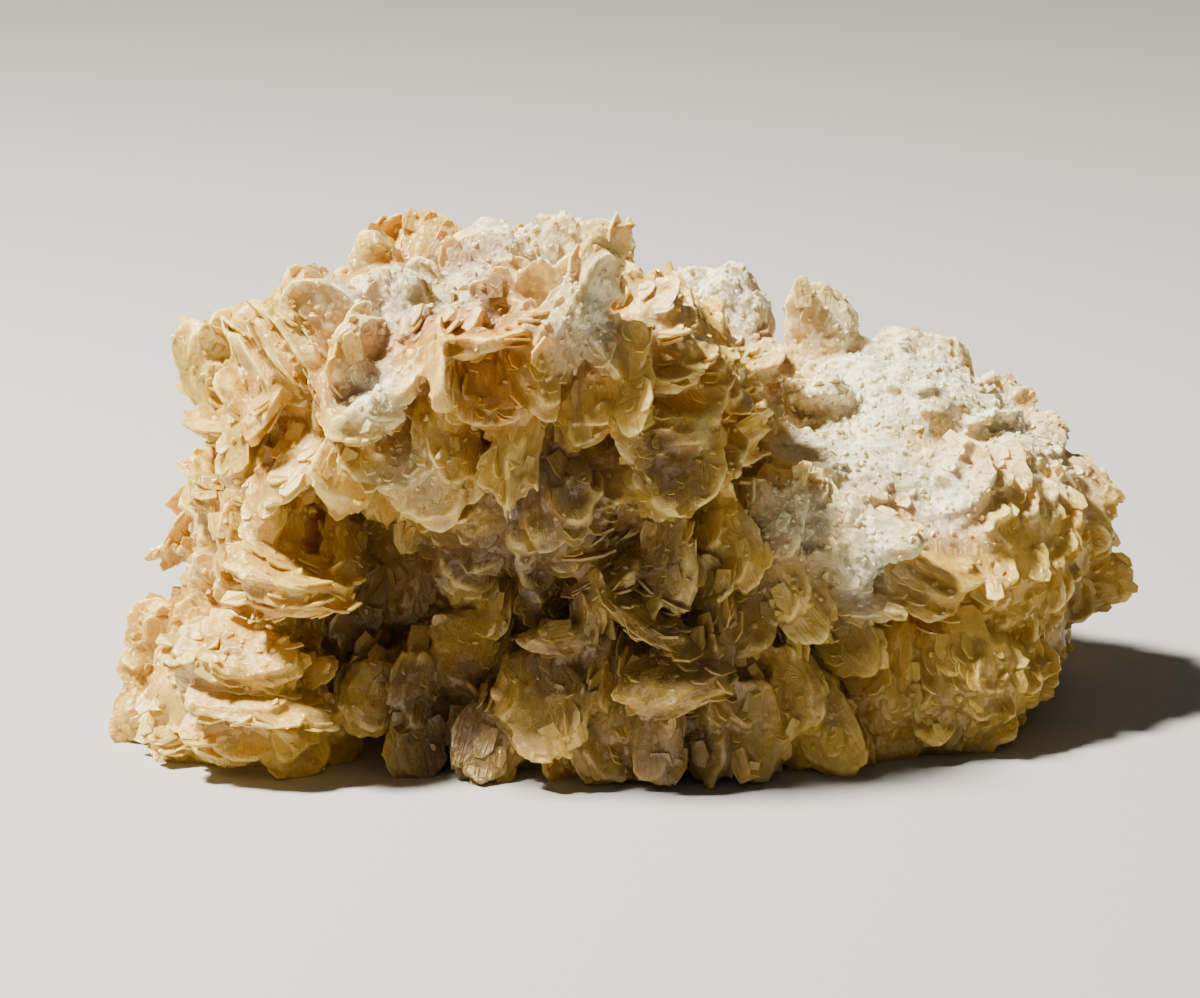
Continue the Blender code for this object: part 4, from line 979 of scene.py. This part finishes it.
def fill_grid():
    """A grid of cells over the whole growth, each one where it is solid."""
    axes = [GRID_CORNER[i] + GRID_STEP * np.arange(GRID_SIZE[i]) for i in range(3)]
    grid = np.zeros(GRID_SIZE, dtype=np.float32)
    x, y, z = axes[0][:, None, None], axes[1][None, :, None], axes[2][None, None, :]
    for centre, half_sizes in LUMPS.values():
        reach = sum(
            ((value / MM - centre[i]) / half_sizes[i]) ** 2 for i, value in enumerate((x, y, z))
        )
        grid[reach < 1] = 1
    for placing, size, _ in big_crystals():
        middle = np.array(placing.translation)
        half = max(size) * 0.75
        low = np.clip(((middle - half - GRID_CORNER) / GRID_STEP).astype(int), 0, None)
        high = np.clip(((middle + half - GRID_CORNER) / GRID_STEP).astype(int) + 1, None, GRID_SIZE)
        part = np.stack(np.meshgrid(*(axes[i][low[i]:high[i]] for i in range(3)), indexing="ij"), -1)
        local = (part - middle) @ np.array(placing.to_3x3())
        flat = (local[..., 0] / size[0]) ** 2 + (local[..., 1] / size[1]) ** 2 < 0.25
        inside = flat & (np.abs(local[..., 2]) < size[2] / 2)
        block = grid[low[0]:high[0], low[1]:high[1], low[2]:high[2]]
        block[inside] = 1
    return grid


def blurred(grid, cells):
    """The grid averaged over a cube of cells around each cell, twice."""
    for _ in range(2):
        for axis in range(3):
            total = np.cumsum(np.pad(grid, [(cells + 1, cells) if i == axis else (0, 0) for i in range(3)],
                                     mode="edge"), axis=axis, dtype=np.float64)
            count = 2 * cells + 1
            ahead = np.take(total, range(count, count + grid.shape[axis]), axis=axis)
            behind = np.take(total, range(0, grid.shape[axis]), axis=axis)
            grid = ((ahead - behind) / count).astype(np.float32)
    return grid


@functools.cache
def solid_share(cells):
    """How much of the room around each cell of the grid is solid."""
    return blurred(fill_grid(), cells)


def sample_grid(grid, points):
    """The grid's value at each point, blended between cells."""
    place = np.clip((points - GRID_CORNER) / GRID_STEP, 0, np.array(GRID_SIZE) - 1.001)
    cell = place.astype(int)
    share = place - cell
    value = np.zeros(len(points))
    for corner in range(8):
        step = np.array([(corner >> i) & 1 for i in range(3)])
        weight = np.prod(np.where(step, share, 1 - share), axis=1)
        at = cell + step
        value += weight * grid[at[:, 0], at[:, 1], at[:, 2]]
    return value


def neighbour_mean(values, edges, count):
    """The mean of each vertex's neighbours."""
    total = np.zeros_like(values)
    for k in range(values.shape[1]):
        total[:, k] = np.bincount(edges[:, 0], values[edges[:, 1], k], count)
        total[:, k] += np.bincount(edges[:, 1], values[edges[:, 0], k], count)
    degree = np.bincount(edges.ravel(), minlength=count)
    return total / np.maximum(degree, 1)[:, None]


def write_values(mesh, name, values):
    """Puts a number on every vertex of a mesh."""
    layer = mesh.attributes.new(name, "FLOAT", "POINT")
    layer.data.foreach_set("value", np.ascontiguousarray(values, dtype=np.float32))


def finish_piece(piece, source, growth):
    """Writes what the colours read on a grown piece, moves it to the part's origin and hands it over."""
    mesh = piece.data
    points = mesh_points(mesh)
    count = len(points)
    edges = read_values(mesh.edges, "vertices", len(mesh.edges) * 2, np.int32).reshape(-1, 2)
    normals = read_values(mesh.vertices, "normal", count * 3).reshape(-1, 3)

    tree = BVHTree.FromPolygons(
        [corner.co for corner in source.vertices], [face.vertices[:] for face in source.polygons]
    )
    loops = read_values(mesh.loops, "vertex_index", len(mesh.loops), np.int32)
    sizes = read_values(mesh.polygons, "loop_total", len(mesh.polygons), np.int32)
    own = np.repeat(read_values(mesh.attributes["crystal"].data, "value", len(mesh.polygons)), sizes)
    number = np.full(count, FUSED)
    np.maximum.at(number, loops, np.round(own).astype(int))
    fine = number >= 0
    crystal = read_values(source.attributes["crystal"].data, "value", len(source.polygons))
    for i in np.flatnonzero(~fine):
        found = tree.find_nearest(Vector(points[i]))[2]
        number[i] = round(float(crystal[found]))
    tint = np.where(number < 0, 0.5, np.array(growth.tint)[number])
    across = np.where(number[:, None] < 0, (1.0, 0.0, 0.0), np.array(growth.across)[number])
    bpy.data.meshes.remove(source)
    mesh.attributes.remove(mesh.attributes["crystal"])

    smooth = points
    for _ in range(SMOOTHING_ROUNDS):
        smooth = neighbour_mean(smooth, edges, count)
    ridge = np.einsum("ij,ij->i", points - smooth, normals) / RIDGE_HEIGHT
    # The patch weights are written for the material; the umber ones are painted shade
    values = {kind: patch_weight(points, listed_patches) for kind, listed_patches in STAINS_AND_SHADE.items()}
    values["ridge"] = np.where(fine, FINE_RIDGE, np.clip(0.5 + 0.5 * ridge, 0, 1))
    # How closed in each point is, near and far; the material paints shade in honey and umber where this is
    # high
    values["hollow"] = sample_grid(solid_share(NEAR_CELLS), points)
    values["deep"] = sample_grid(solid_share(FAR_CELLS), points)
    values["tint"] = tint
    for name, value in values.items():
        write_values(mesh, name, value)
    layer = mesh.attributes.new("across", "FLOAT_VECTOR", "POINT")
    layer.data.foreach_set("vector", np.ascontiguousarray(across, dtype=np.float32).ravel())

    mesh.transform(Matrix.Translation(CENTRING))
    make_active(piece)
    bpy.ops.object.shade_smooth_by_angle(angle=SHARP_ANGLE)
    mesh.materials.clear()
    mesh.materials.append(barite_material())
    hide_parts("barite_cluster")
    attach(piece, "root")


# ---- finish


NODE_ROWS = 8
NODE_STEP = 220


def node(tree, kind, **values):
    """A new node, below or beside the last one, with its settings and its unlinked inputs."""
    made = tree.nodes.new(kind)
    column, row = divmod(len(tree.nodes), NODE_ROWS)
    made.location = (NODE_STEP * column, -NODE_STEP * row)
    for key, value in values.items():
        if hasattr(made, key):
            setattr(made, key, value)
        else:
            made.inputs[key.replace("_", " ")].default_value = value
    return made


def feed(tree, socket, value):
    """Gives an input its value, or links it to the output that the value is."""
    if isinstance(value, bpy.types.NodeSocket):
        tree.links.new(value, socket)
    else:
        socket.default_value = (*value, 1) if socket.type == "RGBA" else value


def attribute(tree, name):
    """What a point's attribute says, as a number."""
    return node(tree, "ShaderNodeAttribute", attribute_name=name).outputs["Fac"]


def calculate(tree, operation, *values, clamp=False):
    """A Math node on numbers or sockets."""
    made = node(tree, "ShaderNodeMath", operation=operation, use_clamp=clamp)
    for socket, value in zip(made.inputs, values):
        feed(tree, socket, value)
    return made.outputs[0]


def calculate_vector(tree, operation, *values, output="Vector", scale=None):
    """A Vector Math node on vectors or sockets."""
    made = node(tree, "ShaderNodeVectorMath", operation=operation)
    for socket, value in zip(made.inputs, values):
        feed(tree, socket, value)
    if scale is not None:
        feed(tree, made.inputs["Scale"], scale)
    return made.outputs[output]


def blend_colour(tree, factor, first, second):
    """A Mix node on two colours or sockets."""
    made = node(tree, "ShaderNodeMix", data_type="RGBA")
    for i, value in ((0, factor), (6, first), (7, second)):
        feed(tree, made.inputs[i], value)
    return made.outputs[2]


def barite_material():
    """Ivory to honey stone with frosted rims and painted shade in the hollows, sugary where it is snowy and
    satin elsewhere.
    """
    material = bpy.data.materials.get("barite_growth")
    if material:
        return material
    colours = bpy.context.scene.barite_colours
    material = bpy.data.materials.new("barite_growth")
    material.use_nodes = True
    tree = material.node_tree
    shader = tree.nodes["Principled BSDF"]
    place = tree.nodes.new("ShaderNodeTexCoord").outputs["Object"]

    def noise_at(scale, detail, roughness=0.55):
        made = node(tree, "ShaderNodeTexNoise", Scale=scale, Detail=detail, Roughness=roughness)
        feed(tree, made.inputs["Vector"], place)
        return made.outputs["Fac"]

    def add(first, second, clamp=False):
        return calculate(tree, "ADD", first, second, clamp=clamp)

    def multiply(first, second, clamp=False):
        return calculate(tree, "MULTIPLY", first, second, clamp=clamp)

    def scaled(value, gain, shift, clamp=True):
        """value * gain + shift, kept from 0 to 1."""
        return calculate(tree, "MULTIPLY_ADD", value, gain, shift, clamp=clamp)

    cloud = noise_at(160, 4)
    grain = noise_at(1400, 4, 0.7)
    ridge, hollow, deep, tint = (attribute(tree, name) for name in ("ridge", "hollow", "deep", "tint"))
    wander = scaled(cloud, 0.9, -0.45, clamp=False)

    def patch_share(name, gain, threshold):
        """How strongly a listed patch shows, with a ragged edge; the umber patches are painted shade."""
        return scaled(add(attribute(tree, name), wander), gain, -threshold * gain)

    # Painted shade: hollows and the gaps between ridges are shaded towards honey, as light scattered deep
    # in the stone, and the lowest of them towards umber
    painted_hollow_shade = add(scaled(hollow, 1.9, -0.75), scaled(deep, 1.2, -0.55))
    colour = blend_colour(tree, multiply(painted_hollow_shade, 0.85, clamp=True), colours.ivory, colours.honey)
    lowest = add(scaled(hollow, 2.2, -1.5), scaled(deep, 1.6, -1.0), clamp=True)
    colour = blend_colour(tree, multiply(lowest, 0.8), colour, colours.umber_shade)

    # Rims and ridges are frosted, least where umber shade is painted
    umber_shade = patch_share("umber_shade", 1.8, 0.15)
    frost = add(scaled(ridge, 2.4, -1.5), scaled(tint, 0.3, -0.15), clamp=True)
    frosted = multiply(frost, scaled(umber_shade, -0.45, 0.7))
    snow = patch_share("snow", 1.5, 0.15)
    for share, over in (
        (umber_shade, colours.umber_shade), (frosted, colours.frost), (patch_share("honey", 1.2, 0.2), colours.honey),
        (patch_share("olive", 1.2, 0.2), colours.olive), (multiply(snow, 0.8), colours.white),
    ):
        colour = blend_colour(tree, share, colour, over)
    tree.links.new(colour, shader.inputs["Base Color"])

    # Fine lines along each crystal, and grain where it is sugary
    axis = node(tree, "ShaderNodeAttribute", attribute_name="across").outputs["Vector"]
    lines = node(tree, "ShaderNodeTexNoise", noise_dimensions="1D", Scale=2600.0, Detail=3.0)
    feed(tree, lines.inputs["W"], calculate_vector(tree, "DOT_PRODUCT", place, axis, output="Value"))
    sugar = multiply(grain, scaled(snow, 0.6, 0.5))
    bump = node(tree, "ShaderNodeBump", Strength=1.0, Distance=0.35 * MM)
    tree.links.new(add(multiply(lines.outputs["Fac"], 0.35), sugar), bump.inputs["Height"])
    relief = bump.outputs["Normal"]

    # Each grain's face looks its own way, which makes it glint
    cells = node(tree, "ShaderNodeTexVoronoi", Scale=2300.0)
    feed(tree, cells.inputs["Vector"], place)
    tilt = calculate_vector(tree, "MULTIPLY_ADD", cells.outputs["Color"], (2, 2, 2), (-1, -1, -1))
    strong = calculate_vector(tree, "SCALE", tilt, scale=scaled(snow, 0.28, 0.10))
    facing = calculate_vector(tree, "ADD", strong, relief)
    glint = calculate_vector(tree, "MULTIPLY_ADD", tilt, (0.45, 0.45, 0.45), relief)
    for name, direction in (("Normal", facing), ("Coat Normal", glint)):
        tree.links.new(calculate_vector(tree, "NORMALIZE", direction), shader.inputs[name])

    tree.links.new(scaled(add(snow, frost), -0.3, 0.3), shader.inputs["Transmission Weight"])
    rough = add(scaled(snow, 0.25, 0.3), scaled(grain, 0.5, -0.1), clamp=True)
    tree.links.new(rough, shader.inputs["Roughness"])
    for name, value in (
        ("IOR", 1.64), ("Coat Weight", 0.45), ("Coat Roughness", 0.09), ("Coat IOR", 1.55),
        ("Subsurface Weight", 0.5), ("Subsurface Radius", (1.0, 0.8, 0.35)),
        ("Subsurface Scale", 0.6 * MM), ("Subsurface Anisotropy", 0.4),
    ):
        shader.inputs[name].default_value = value
    return material


# ---- the steps, each an operator

# Lamps: name, place and width, in metres
LAMPS = (
    ("key", (-0.34, 0.015, 0.58), 0.09),
    ("fill", (-0.20, -0.80, 0.40), 0.6),
    ("rim", (0.30, 0.55, 0.45), 0.35),
)
LAMP_AIM = Vector((0, 0, 0.024))
LAMP_COLOUR = (1.0, 0.95, 0.86)
ROOM_COLOUR = (1.0, 0.98, 0.95, 1)
ROOM_STRENGTH = 0.05
FLOOR_WIDTH = 6
FLOOR_ROUGHNESS = 0.7
LENS, SENSOR, CLIP_START = 135, 36, 0.01


class BARITE_OT_model_forms(bpy.types.Operator):
    """Model the crystal forms that the growth is made of"""

    bl_idname = "barite.model_forms"
    bl_label = "Model Crystal Forms"
    bl_options = {"REGISTER", "UNDO"}

    def execute(self, context):
        model_forms()
        return {"FINISHED"}


class GrowPiece:
    """Shared by the operators that grow one region each."""

    bl_options = {"REGISTER", "UNDO"}
    region = ""

    def execute(self, context):
        grow_region(self.region)
        return {"FINISHED"}


class BARITE_OT_grow_dome(GrowPiece, bpy.types.Operator):
    """Grow the overhanging dome with its shoulders and chin"""

    bl_idname = "barite.grow_dome"
    bl_label = "Grow Dome"
    region = "dome"


class BARITE_OT_grow_foot(GrowPiece, bpy.types.Operator):
    """Grow the neck and the foot on the left"""

    bl_idname = "barite.grow_foot"
    bl_label = "Grow Foot"
    region = "foot"


class BARITE_OT_grow_front(GrowPiece, bpy.types.Operator):
    """Grow the low sill along the front"""

    bl_idname = "barite.grow_front"
    bl_label = "Grow Front"
    region = "front"


class BARITE_OT_grow_right(GrowPiece, bpy.types.Operator):
    """Grow the snowy mass on the right"""

    bl_idname = "barite.grow_right"
    bl_label = "Grow Right Mass"
    region = "right"


class BARITE_OT_grow_back(GrowPiece, bpy.types.Operator):
    """Grow the trunk behind and the saddle beside the dome"""

    bl_idname = "barite.grow_back"
    bl_label = "Grow Back"
    region = "back"


class BARITE_OT_stage(bpy.types.Operator):
    """Set the floor, the lights and the camera"""

    bl_idname = "barite.stage"
    bl_label = "Set Stage"
    bl_options = {"REGISTER", "UNDO"}

    def execute(self, context):
        values = context.scene.barite_stage
        bpy.ops.object.select_all(action="DESELECT")
        bpy.ops.mesh.primitive_plane_add(size=FLOOR_WIDTH, location=(0, 0, 0))
        floor = context.object
        floor.name = "floor"
        paint = bpy.data.materials.new("floor_paint")
        paint.use_nodes = True
        shader = paint.node_tree.nodes["Principled BSDF"]
        shader.inputs["Base Color"].default_value = (*values.floor, 1)
        shader.inputs["Roughness"].default_value = FLOOR_ROUGHNESS
        floor.data.materials.append(paint)

        for name, place, width in LAMPS:
            light = bpy.data.lights.new(name, "AREA")
            light.energy = values.key_power if name == "key" else values.fill_power
            light.size = width
            light.color = LAMP_COLOUR
            lamp = bpy.data.objects.new(name, light)
            lamp.location = place
            lamp.rotation_euler = (LAMP_AIM - Vector(place)).to_track_quat("-Z", "Y").to_euler()
            context.scene.collection.objects.link(lamp)

        world = bpy.data.worlds.new("studio")
        world.use_nodes = True
        background = world.node_tree.nodes["Background"]
        background.inputs["Color"].default_value = ROOM_COLOUR
        background.inputs["Strength"].default_value = ROOM_STRENGTH
        context.scene.world = world

        away = Vector((0, math.cos(EYE_ELEVATION), -math.sin(EYE_ELEVATION)))
        lens = bpy.data.cameras.new("camera")
        lens.sensor_width = SENSOR
        lens.lens = LENS
        lens.clip_start = CLIP_START
        camera = bpy.data.objects.new("camera", lens)
        camera.location = SHEET_CENTRE + CENTRING - away * EYE_DISTANCE
        camera.rotation_euler = away.to_track_quat("-Z", "Y").to_euler()
        context.scene.collection.objects.link(camera)
        context.scene.camera = camera
        return {"FINISHED"}


STEPS = (
    "barite.model_forms",
    "barite.grow_dome",
    "barite.grow_foot",
    "barite.grow_front",
    "barite.grow_right",
    "barite.grow_back",
    "barite.stage",
)


class BARITE_PT_panel(bpy.types.Panel):
    """Lists the steps that make the cluster and its stage"""

    bl_idname = "BARITE_PT_panel"
    bl_label = "Barite Cluster"
    bl_space_type = "VIEW_3D"
    bl_region_type = "UI"
    bl_category = "Barite"

    def draw(self, context):
        for group in ("barite_pieces", "barite_colours", "barite_stage"):
            values = getattr(context.scene, group)
            box = self.layout.box()
            for name in values.bl_rna.properties.keys():
                if name not in ("rna_type", "name"):
                    box.prop(values, name)
        for step in STEPS:
            self.layout.operator(step)


CLASSES = (
    BaritePieces,
    BariteColours,
    BariteStage,
    BARITE_OT_model_forms,
    BARITE_OT_grow_dome,
    BARITE_OT_grow_foot,
    BARITE_OT_grow_front,
    BARITE_OT_grow_right,
    BARITE_OT_grow_back,
    BARITE_OT_stage,
    BARITE_PT_panel,
)


def register():
    for cls in CLASSES:
        bpy.utils.register_class(cls)
    bpy.types.Scene.barite_pieces = PointerProperty(type=BaritePieces)
    bpy.types.Scene.barite_colours = PointerProperty(type=BariteColours)
    bpy.types.Scene.barite_stage = PointerProperty(type=BariteStage)


def unregister():
    del bpy.types.Scene.barite_stage
    del bpy.types.Scene.barite_colours
    del bpy.types.Scene.barite_pieces
    for cls in reversed(CLASSES):
        bpy.utils.unregister_class(cls)


def main():
    """Runs every step in order."""
    register()
    for step in STEPS:
        group, name = step.split(".")
        getattr(getattr(bpy.ops, group), name)()


if __name__ == "__main__":
    main()
